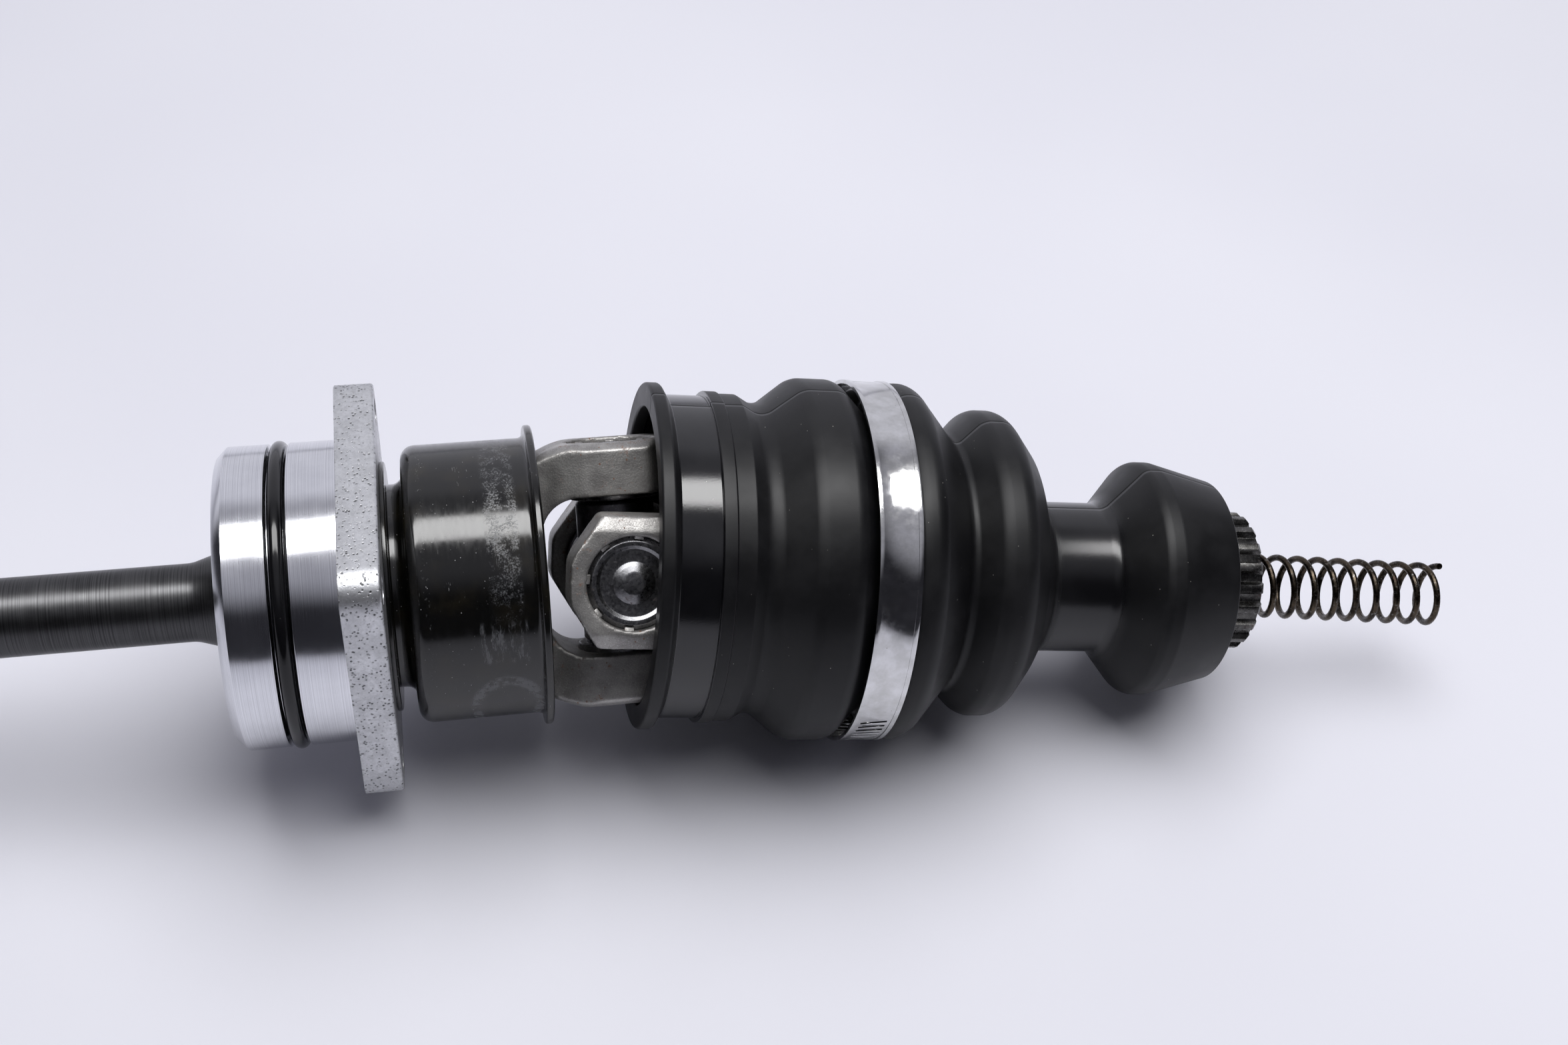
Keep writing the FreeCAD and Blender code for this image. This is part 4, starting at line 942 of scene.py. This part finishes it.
@dataclass
class JointCover:
    """Stamped black sleeve round the joint, with its stop bead and rolled lip."""

    wall: float = 1.6
    neck: float = 24.39
    stop_radius: float = 30.0
    body_radius: float = 33.4
    lip_radius: float = 36.4
    shoulder_x: float = 14.2
    mouth_x: float = 45.6
    lip: float = 1.9

    def build(self) -> None:
        """Build and dress the cover."""
        lip_left = self.mouth_x - self.lip
        inner = self.body_radius - self.wall
        shoulder = self.shoulder_x + self.wall
        cover = turned(
            "cover_sleeve",
            [
                Corner(1.65, self.neck - self.wall), Corner(1.65, self.neck), Corner(9.27, self.neck),
                Corner(9.27, self.stop_radius, 0.2), Corner(10.45, self.stop_radius, 0.5),
                Corner(10.45, self.neck, 0.4), Corner(self.shoulder_x, self.neck, 2.5),
                Corner(self.shoulder_x, self.body_radius, 3.4), Corner(lip_left, self.body_radius, 1.5),
                Corner(lip_left, self.lip_radius, 0.6), Corner(self.mouth_x, self.lip_radius, 0.7),
                Corner(self.mouth_x, self.body_radius + 0.75, 0.3), Corner(lip_left, inner, 0.75),
                Corner(shoulder, inner, 1.8), Corner(shoulder, self.neck - self.wall, 2.5),
            ],
            steps=160,
            segments=8,
        )
        dress(cover, BlackCover())
        hand_over(cover, Body.HOLDER, "black_oxide_steel", "joint_cover")


@dataclass
class InputShaft:
    """Long turned shaft with its splined end."""

    radius: float = 9.3
    end_x: float = -270.4
    spline_length: float = 32.0
    journal_radius: float = 12.5
    teeth: int = 16
    tooth_height: float = 1.0

    def body(self) -> bpy.types.Object:
        """Turn the shaft from its spline to the stub inside the yoke."""
        start = self.end_x + self.spline_length
        return turned(
            "shaft_bar",
            [
                Corner(start, 0), Corner(start, self.radius, 0.3), Corner(-35.7, self.radius, 7.5),
                Corner(-28.2, self.journal_radius - 0.8), Corner(-27.4, self.journal_radius),
                Corner(-25.3, self.journal_radius), Corner(-25.3, 11.55), Corner(-24.0, 11.55),
                Corner(-24.0, self.journal_radius), Corner(-9.0, self.journal_radius),
                Corner(-9.0, 10.0), Corner(18.8, 10.0), Corner(20.0, 8.8), Corner(20.0, 0),
            ],
            steps=128,
            closed=False,
            segments=12,
        )

    def build(self) -> None:
        """Build and dress the shaft."""
        bar = self.body()
        dress(bar, DARK_SHAFT)
        stop = self.end_x + self.spline_length + 0.5
        end = spline_rod("shaft_spline", self.end_x, stop, self.radius, self.tooth_height, self.teeth)
        lead = turned(
            "shaft_lead",
            [
                Corner(self.end_x - 1, 7.0), Corner(self.end_x - 1, 12.0),
                Corner(self.end_x + 1.2, 12.0), Corner(self.end_x + 1.2, self.radius),
                Corner(self.end_x, self.radius - 1.2), Corner(self.end_x, 7.0),
            ],
            steps=64,
        )
        cut(end, lead)
        centre = turned(
            "shaft_centre",
            [
                Corner(self.end_x - 1, 0), Corner(self.end_x - 1, 4.2), Corner(self.end_x, 3.2),
                Corner(self.end_x + 2.0, 2.0), Corner(self.end_x + 5.0, 2.0),
                Corner(self.end_x + 7.0, 0),
            ],
            steps=48,
            closed=False,
        )
        cut(end, centre)
        smooth(end, 25.0)
        dress(end, SPLINE_STEEL)
        for piece in (bar, end):
            hand_over(piece, Body.INPUT, "dark_machined_steel", "input_shaft")


def spline_rod(
    name: str, start: float, stop: float, tip: float, height: float, teeth: int
) -> bpy.types.Object:
    """Model a rod along X with straight-sided teeth.

    Args:
        name: Name of the piece.
        start: Left end.
        stop: Right end.
        tip: Radius at the teeth's tips.
        height: Height of the teeth.
        teeth: How many there are.

    Returns:
        The rod, its tooth edges bevelled.
    """
    fresh_start()
    bpy.ops.mesh.primitive_circle_add(
        vertices=4 * teeth,
        radius=tip * MM,
        fill_type="NGON",
        location=(start * MM, 0, 0),
        rotation=(0, math.pi / 2, 0),
    )
    rod = bpy.context.object
    rod.name = name
    bpy.ops.object.transform_apply(location=True, rotation=True, scale=True)
    pitch = 2 * math.pi / teeth
    shares = ((-0.30, tip - height), (-0.17, tip), (0.17, tip), (0.30, tip - height))
    places = []
    for index in range(teeth):
        for share, radius in shares:
            angle = (index + share) * pitch
            places.append((angle % (2 * math.pi), radius))
    places.sort()
    ring = sorted(rod.data.vertices, key=lambda v: math.atan2(v.co.z, v.co.y) % (2 * math.pi))
    for vertex, (angle, radius) in zip(ring, places):
        vertex.co = (start * MM, radius * MM * math.cos(angle), radius * MM * math.sin(angle))
    bpy.ops.object.mode_set(mode="EDIT")
    bpy.ops.mesh.select_all(action="SELECT")
    bpy.ops.mesh.extrude_region_move(TRANSFORM_OT_translate={"value": ((stop - start) * MM, 0, 0)})
    bpy.ops.object.mode_set(mode="OBJECT")
    tidy_mesh(rod)
    apply(rod, "BEVEL", width=0.16 * MM, segments=2, limit_method="ANGLE", angle_limit=math.radians(40))
    smooth(rod, 25.0)
    return rod


@dataclass
class UniversalJoint:
    """Forged forks, cross, cups with their stakes, needles and seals."""

    voxel: float = 0.55
    cup_radius: float = 10.99
    cup_face: float = 30.4
    cup_floor: float = 28.3
    cup_open: float = 17.6
    cup_bore: float = 9.0
    stakes: int = 8

    def forging(self, name: str, node: str) -> bpy.types.Object:
        """Copy a fork's solid, remesh it and relax its edges as a forging's are."""
        fork = copied(name, node)
        apply(fork, "TRIANGULATE")
        apply(fork, "REMESH", mode="VOXEL", voxel_size=self.voxel * MM, use_smooth_shade=True)
        apply(fork, "SMOOTH", factor=0.5, iterations=5)
        smooth(fork, 50.0)
        return fork

    def cup(self, name: str, matrix: Matrix) -> bpy.types.Object:
        """Turn one bearing cup: rolled shoulder, sunk face and centre dome.

        Args:
            name: Name of the piece.
            matrix: Where its axis, X, goes.

        Returns:
            The cup.
        """
        cup = turned(
            name,
            [
                Corner(self.cup_open, self.cup_bore), Corner(self.cup_open, self.cup_radius, 0.4),
                Corner(self.cup_face - 1.1, self.cup_radius, 0.5),
                Corner(self.cup_face - 0.1, 9.7, 0.45), Corner(self.cup_face - 0.15, 8.7, 0.3),
                Corner(self.cup_face - 0.75, 7.9, 0.4), Corner(self.cup_face - 0.75, 5.0, 0.5),
                Corner(self.cup_face - 0.25, 4.1, 0.8), Corner(self.cup_face + 0.45, 2.6, 1.6),
                Corner(self.cup_face + 0.6, 0.0), Corner(self.cup_floor, 0.0),
                Corner(self.cup_floor, self.cup_bore, 0.5),
            ],
            steps=96,
            segments=5,
        )
        tidy_mesh(cup, 2e-6)
        place(cup, matrix)
        smooth(cup, 40.0)
        return cup

    def stake_ring(self, name: str, matrix: Matrix, turn: float) -> bpy.types.Object:
        """Press metal from the bore's edge over a cup at even places.

        Args:
            name: Name of the piece.
            matrix: Where the cup's axis, X, goes.
            turn: Turn of the first stake about that axis, in degrees.

        Returns:
            All the stakes of one ear as one mesh.
        """
        tabs = []
        for index in range(self.stakes):
            fresh_start()
            bpy.ops.mesh.primitive_cube_add(size=1.0)
            tab = bpy.context.object
            tab.scale = (0.9 * MM, 2.3 * MM, 1.1 * MM)
            bpy.ops.object.transform_apply(scale=True)
            bpy.ops.object.mode_set(mode="EDIT")
            pick_vertices([Vector((0.5, s, -0.6)) * MM for s in (-1.2, 1.2)])
            bpy.ops.transform.translate(value=(-0.55 * MM, 0, 0))
            bpy.ops.mesh.select_all(action="SELECT")
            bpy.ops.mesh.bevel(offset=0.22 * MM, segments=3, affect="EDGES")
            bpy.ops.object.mode_set(mode="OBJECT")
            spin = Matrix.Rotation(math.radians(turn + 360.0 * index / self.stakes), 4, "X")
            place(tab, spin @ Matrix.Translation((30.75 * MM, 0, 10.75 * MM)))
            tabs.append(tab)
        ring = joined(name, tabs)
        place(ring, matrix)
        smooth(ring, 40.0)
        return ring

    def build(self) -> None:
        """Build and dress the joint."""
        forging = BlastedForging()
        for name, node, body in (
            ("input_fork", "input_yoke", Body.INPUT),
            ("output_fork", "output_yoke", Body.OUTPUT),
        ):
            fork = self.forging(name, node)
            dress(fork, forging)
            hand_over(fork, body, "forged_steel", node)
        halves = (
            ("input", INPUT_FRAME, (("Y", -90), ("Y", 90)), Body.INPUT),
            ("output", OUTPUT_FRAME, (("Z", -90), ("Z", 90)), Body.OUTPUT),
        )
        for half, base, turns, body in halves:
            for index, (axis, angle) in enumerate(turns):
                matrix = base @ Matrix.Rotation(math.radians(angle), 4, axis)
                cup = self.cup(f"{half}_cup_{index}", matrix)
                dress(cup, CUP_STEEL)
                hand_over(cup, body, "cup_steel", f"{half}_cups")
                stakes = self.stake_ring(f"{half}_stakes_{index}", matrix, 41.0)
                dress(stakes, forging)
                hand_over(stakes, body, "forged_steel")
            seals = copied(f"{half}_lip_rings", f"{half}_cup_seals", 0.1)
            dress(seals, SEAL_RUBBER)
            hand_over(seals, body, "seal_rubber", f"{half}_cup_seals")
            refinish(f"{half}_needles", GROUND_STEEL)
        cross = copied("cross_forging", "joint_cross", 0.3)
        dress(cross, CROSS_STEEL)
        hand_over(cross, Body.CROSS, "cross_steel", "joint_cross")


@dataclass
class SplinedStub:
    """Machined shank with its spline and spring bore, and the spring in it."""

    shank_radius: float = 16.7
    hub_end: float = 44.0
    spline_start: float = 131.0
    end: float = 163.0
    tip: float = 17.9
    tooth_height: float = 1.6
    teeth: int = 20
    bore_radius: float = 9.7
    bore_depth: float = 54.0
    spring_radius: float = 8.5
    wire_radius: float = 0.85
    pitch: float = 5.75
    standout: float = 60.0
    droop: float = 1.6
    mouth_sag: float = 1.1
    end_clearance: float = 0.15
    turns: int = 19

    def shank(self) -> bpy.types.Object:
        """Turn the plain shank and the spigot in the yoke."""
        shank = turned(
            "stub_shank",
            [
                Corner(28.0, 0), Corner(28.0, 10.0), Corner(29.0, 11.0), Corner(self.hub_end, 11.0),
                Corner(self.hub_end, self.shank_radius - 1.0),
                Corner(self.hub_end + 1.0, self.shank_radius),
                Corner(self.spline_start + 0.2, self.shank_radius),
                Corner(self.spline_start + 0.2, self.bore_radius),
                Corner(self.end - self.bore_depth, self.bore_radius, 0.6),
                Corner(self.end - self.bore_depth, 0),
            ],
            steps=128,
            closed=False,
        )
        place(shank, OUTPUT_FRAME)
        return shank

    def spline(self) -> bpy.types.Object:
        """Cut the spline's rod to its bore and its chamfered ends."""
        rod = spline_rod("stub_spline", self.spline_start, self.end, self.tip, self.tooth_height, self.teeth)
        end_cut = turned(
            "stub_end_cut",
            [
                Corner(self.end - 1.1, self.tip + 0.1), Corner(self.end + 1.0, self.tip - 2.0),
                Corner(self.end + 1.0, self.tip + 3.0), Corner(self.end - 1.1, self.tip + 3.0),
            ],
            steps=96,
        )
        cut(rod, end_cut)
        bore = turned(
            "stub_bore_cut",
            [
                Corner(self.spline_start - 1.0, 0), Corner(self.spline_start - 1.0, self.bore_radius),
                Corner(self.end - 1.0, self.bore_radius),
                Corner(self.end + 1.0, self.bore_radius + 2.0), Corner(self.end + 1.0, 0),
            ],
            steps=96,
            closed=False,
        )
        cut(rod, bore)
        place(rod, OUTPUT_FRAME)
        smooth(rod, 25.0)
        return rod

    def spring(self) -> bpy.types.Object:
        """Wind the spring from a circle of wire, close its last coil and let it droop."""
        fresh_start()
        path = self.spring_radius - self.wire_radius
        bpy.ops.mesh.primitive_circle_add(
            vertices=14,
            radius=self.wire_radius * MM,
            location=(0, 0, path * MM),
            rotation=(math.pi / 2, 0, 0),
        )
        coil = bpy.context.object
        coil.name = "spring_coil"
        bpy.ops.object.transform_apply(location=True, rotation=True, scale=True)
        apply(
            coil,
            "SCREW",
            axis="X",
            screw_offset=self.pitch * MM,
            angle=2 * math.pi,
            iterations=self.turns,
            steps=40,
            render_steps=40,
            use_smooth_shade=True,
        )
        only(coil)
        bpy.ops.object.mode_set(mode="EDIT")
        bpy.ops.mesh.select_all(action="SELECT")
        bpy.ops.mesh.remove_doubles(threshold=1e-7)
        bpy.ops.mesh.select_all(action="DESELECT")
        bpy.ops.mesh.select_mode(type="VERT")
        bpy.ops.mesh.select_non_manifold()
        bpy.ops.mesh.edge_face_add()
        bpy.ops.object.mode_set(mode="OBJECT")
        length = self.turns * self.pitch
        start = 0.3 + self.wire_radius
        wanted = self.bore_depth + self.standout - self.wire_radius - start - self.end_clearance
        for vertex in coil.data.vertices:
            vertex.co.x *= wanted / length
        tidy_mesh(coil, 1e-7)
        lean = Matrix.Rotation(math.radians(self.droop), 4, RIDE.cross(X_AXIS))
        base = Matrix.Translation(((start - self.bore_depth) * MM, 0, 0))
        mouth = Matrix.Translation(X_AXIS * self.end * MM - RIDE * self.mouth_sag * MM)
        place(coil, OUTPUT_FRAME @ mouth @ lean @ base)
        smooth(coil, 60.0)
        return coil

    def build(self) -> None:
        """Build and dress the stub and its spring."""
        shank = self.shank()
        dress(shank, DARK_SHAFT)
        spline = self.spline()
        dress(spline, SPLINE_STEEL)
        for piece in (shank, spline):
            hand_over(piece, Body.OUTPUT, "dark_machined_steel", "splined_stub")
        coil = self.spring()
        dress(coil, SPRING_STEEL)
        hand_over(coil, Body.SPRING, "spring_wire", "preload_spring")
        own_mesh(coil)


@dataclass
class Boot:
    """Bellows boot, slack bellows riding above the shaft, neck and collar fitting the shank."""

    ride: float = 3.1
    shoulder_start: float = 100.6
    shoulder_end: float = 106.3
    neck_radius: float = 19.2

    def corners(self) -> list[Corner]:
        """Return the boot's profile, outside from mouth to collar and inside back."""
        outside = [
            Corner(4.6, 42.6, 0.8), Corner(7.8, 42.6, 0.8), Corner(9.4, 39.8, 0.4),
            Corner(19.0, 39.8, 0.25), Corner(19.0, 41.0, 0.4), Corner(22.2, 41.0, 0.35),
            Corner(22.4, 40.5, 0.15), Corner(26.8, 40.5, 0.8), Corner(31.8, 37.6, 4.0),
            Corner(41.2, 45.1, 5.0), Corner(51.2, 45.1, 4.4), Corner(59.5, 36.4, 2.4),
            Corner(64.8, 44.8, 4.6), Corner(70.4, 44.8, 4.6), Corner(81.2, 32.0, 1.8),
            Corner(87.6, 38.9, 4.4), Corner(94.4, 38.9, 5.0), Corner(self.shoulder_start, 31.0, 4.0),
            Corner(self.shoulder_end, self.neck_radius, 1.5), Corner(123.0, self.neck_radius, 3.2),
            Corner(132.4, 30.2, 3.0), Corner(136.4, 30.2, 3.0), Corner(152.5, 25.9, 0.6),
        ]
        inside = [
            Corner(152.5, 22.9, 0.5), Corner(136.4, 27.2, 1.5), Corner(132.4, 27.2, 1.5),
            Corner(123.0, 17.0, 3.0), Corner(self.shoulder_end - 1.4, 17.0, 1.5),
            Corner(self.shoulder_start - 1.9, 29.9, 3.0), Corner(93.3, 36.7, 3.0),
            Corner(87.6, 36.7, 3.0), Corner(81.2, 29.2, 1.5), Corner(70.0, 42.6, 3.0),
            Corner(64.8, 42.6, 3.0), Corner(59.5, 34.2, 2.0), Corner(50.4, 42.9, 3.0),
            Corner(41.8, 42.9, 3.0), Corner(31.8, 35.4, 3.0), Corner(24.6, 37.6, 1.0),
            Corner(8.0, 37.6, 0.5), Corner(8.0, 36.7, 0.3), Corner(4.6, 36.7, 0.6),
        ]
        return outside + inside

    def build(self) -> None:
        """Spin the boot, lift its bellows and dress it."""
        boot = turned("bellows_boot", self.corners(), steps=144, segments=8)
        lift = RIDE * self.ride * MM
        span = self.shoulder_end - self.shoulder_start
        for vertex in boot.data.vertices:
            share = (self.shoulder_end - vertex.co.x / MM) / span
            vertex.co += lift * min(max(share, 0.0), 1.0)
        place(boot, OUTPUT_FRAME)
        smooth(boot, 36.0)
        dress(boot, BOOT_RUBBER)
        hand_over(boot, Body.BOOT, "boot_rubber", "boot")


@dataclass
class HoseClamp:
    """Worm-drive clamp: slotted band, housing and screw."""

    def build(self) -> None:
        """Build and dress the clamp."""
        for name, node, body, finish, slot in (
            ("band", "clamp_band", Body.BOOT, BandSteel(), "stainless_band"),
            ("worm_housing", "clamp_housing", Body.BOOT, BandSteel(), "stainless_band"),
            ("worm_screw", "clamp_screw", Body.WORM, ZINC_STEEL, "zinc_screw"),
        ):
            piece = copied(name, node, 0.06 if node == "clamp_band" else 0.2)
            dress(piece, finish)
            hand_over(piece, body, slot, node)


@dataclass
class Studio:
    """Pale sheet, soft lamps and the camera."""

    camera_place: tuple[float, float, float] = (24.91, -318.80, 329.82)
    right: tuple[float, float, float] = (0.98143, -0.17946, 0.06777)
    up: tuple[float, float, float] = (0.07776, 0.69510, 0.71469)
    view: tuple[float, float, float] = (0.17537, 0.69615, -0.69615)
    focal_pixels: float = 2800.0
    width_pixels: float = 2352.0
    fill: float = 0.38
    glow: float = 0.9
    aim: tuple[float, float, float] = (0.03, 0.0, 0.0)
    window_place: tuple[float, float, float] = (0.03, -0.02, 1.25)
    window_aim: tuple[float, float, float] = (0.03, -0.02, 0.0)
    window_size: tuple[float, float] = (1.6, 0.44)
    window_power: float = 23.0
    roof_place: tuple[float, float, float] = (0.26, 0.14, 1.30)
    roof_size: tuple[float, float] = (1.6, 1.1)
    roof_power: float = 21.5

    def camera(self) -> None:
        """Set the camera where the photograph was taken."""
        data = bpy.data.cameras.new("camera")
        data.sensor_fit = "HORIZONTAL"
        data.sensor_width = 36.0
        data.lens = self.focal_pixels / self.width_pixels * data.sensor_width
        data.clip_start = 0.01
        data.clip_end = 50.0
        camera = bpy.data.objects.new("camera", data)
        rows = [(self.right[i], self.up[i], -self.view[i], self.camera_place[i] * MM) for i in range(3)]
        camera.matrix_world = Matrix([*rows, (0, 0, 0, 1)])
        bpy.context.scene.collection.objects.link(camera)
        bpy.context.scene.camera = camera

    def sheet(self, level: float) -> None:
        """Lay the flat pale sheet at the object's lowest point.

        Args:
            level: Height of the sheet, in metres.
        """
        fresh_start()
        bpy.ops.mesh.primitive_plane_add(size=6.0, location=(0, 0, level))
        floor = bpy.context.object
        floor.name = "pale_sheet"
        bpy.ops.object.transform_apply(location=True, rotation=True, scale=True)
        dress(floor, PaleSheet())
        floor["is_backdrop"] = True

    def lamp(
        self,
        name: str,
        place_m: Sequence[float],
        target: Sequence[float],
        size: Sequence[float],
        power: float,
    ) -> bpy.types.Object:
        """Hang a soft rectangular lamp that faces a point."""
        data = bpy.data.lights.new(name, "AREA")
        data.shape = "RECTANGLE"
        data.size, data.size_y = size
        data.energy = power
        lamp = bpy.data.objects.new(name, data)
        direction = Vector(target) - Vector(place_m)
        turn = direction.to_track_quat("-Z", "Y").to_matrix().to_4x4()
        lamp.matrix_world = Matrix.Translation(place_m) @ turn
        bpy.context.scene.collection.objects.link(lamp)
        return lamp

    def room(self) -> None:
        """Give the world a bright back and a dim front for reflections, and a weaker fill for diffuse light."""
        world = bpy.data.worlds.new("room")
        bpy.context.scene.world = world
        world.use_nodes = True
        tree = world.node_tree
        way = add_node(tree, "ShaderNodeTexCoord")
        parts = add_node(tree, "ShaderNodeSeparateXYZ", {0: way.outputs["Generated"]})
        shares = []
        for axis, low, high in (("Z", 0.52, 0.84), ("Y", 0.40, 0.62)):
            ramp = add_node(
                tree,
                "ShaderNodeMapRange",
                {
                    "Value": parts.outputs[axis],
                    "From Min": low,
                    "From Max": high,
                    "To Min": 0.0,
                    "To Max": 1.0,
                },
                interpolation_type="SMOOTHSTEP",
            )
            shares.append(ramp.outputs["Result"])
        front = add_node(
            tree,
            "ShaderNodeMix",
            {"Factor": shares[0], 6: linear("2B2B30"), 7: linear("A9A9B2")},
            data_type="RGBA",
        )
        mixed = add_node(
            tree,
            "ShaderNodeMix",
            {"Factor": shares[1], 6: front.outputs[2], 7: linear("E4E4EE")},
            data_type="RGBA",
        )
        ground = tree.nodes["Background"]
        tree.links.new(mixed.outputs[2], ground.inputs["Color"])
        rays = add_node(tree, "ShaderNodeLightPath")
        fill = add_node(
            tree,
            "ShaderNodeMix",
            {0: rays.outputs["Is Diffuse Ray"], 2: self.glow, 3: self.fill},
            data_type="FLOAT",
        )
        tree.links.new(fill.outputs[0], ground.inputs["Strength"])

    def build(self, level: float) -> None:
        """Set up the whole studio.

        Args:
            level: Height of the sheet, in metres.
        """
        self.camera()
        self.sheet(level)
        self.room()
        window = self.lamp(
            "roof_window", self.window_place, self.window_aim, self.window_size, self.window_power
        )
        window.visible_diffuse = False
        roof = self.lamp("roof", self.roof_place, self.aim, self.roof_size, self.roof_power)
        roof.visible_glossy = False
        bpy.context.scene.view_settings.view_transform = "Standard"


def main() -> None:
    """Find the solids' lowest point, build every sub-assembly, then the studio with its sheet at that point."""
    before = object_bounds()
    for kind in (BearingHolder, JointCover, InputShaft, UniversalJoint, SplinedStub, Boot, HoseClamp):
        LOG.info("building %s", kind.__name__)
        kind().build()
    Studio().build(float(before[0][2]))
    fresh_start()


if __name__ == "__main__":
    main()
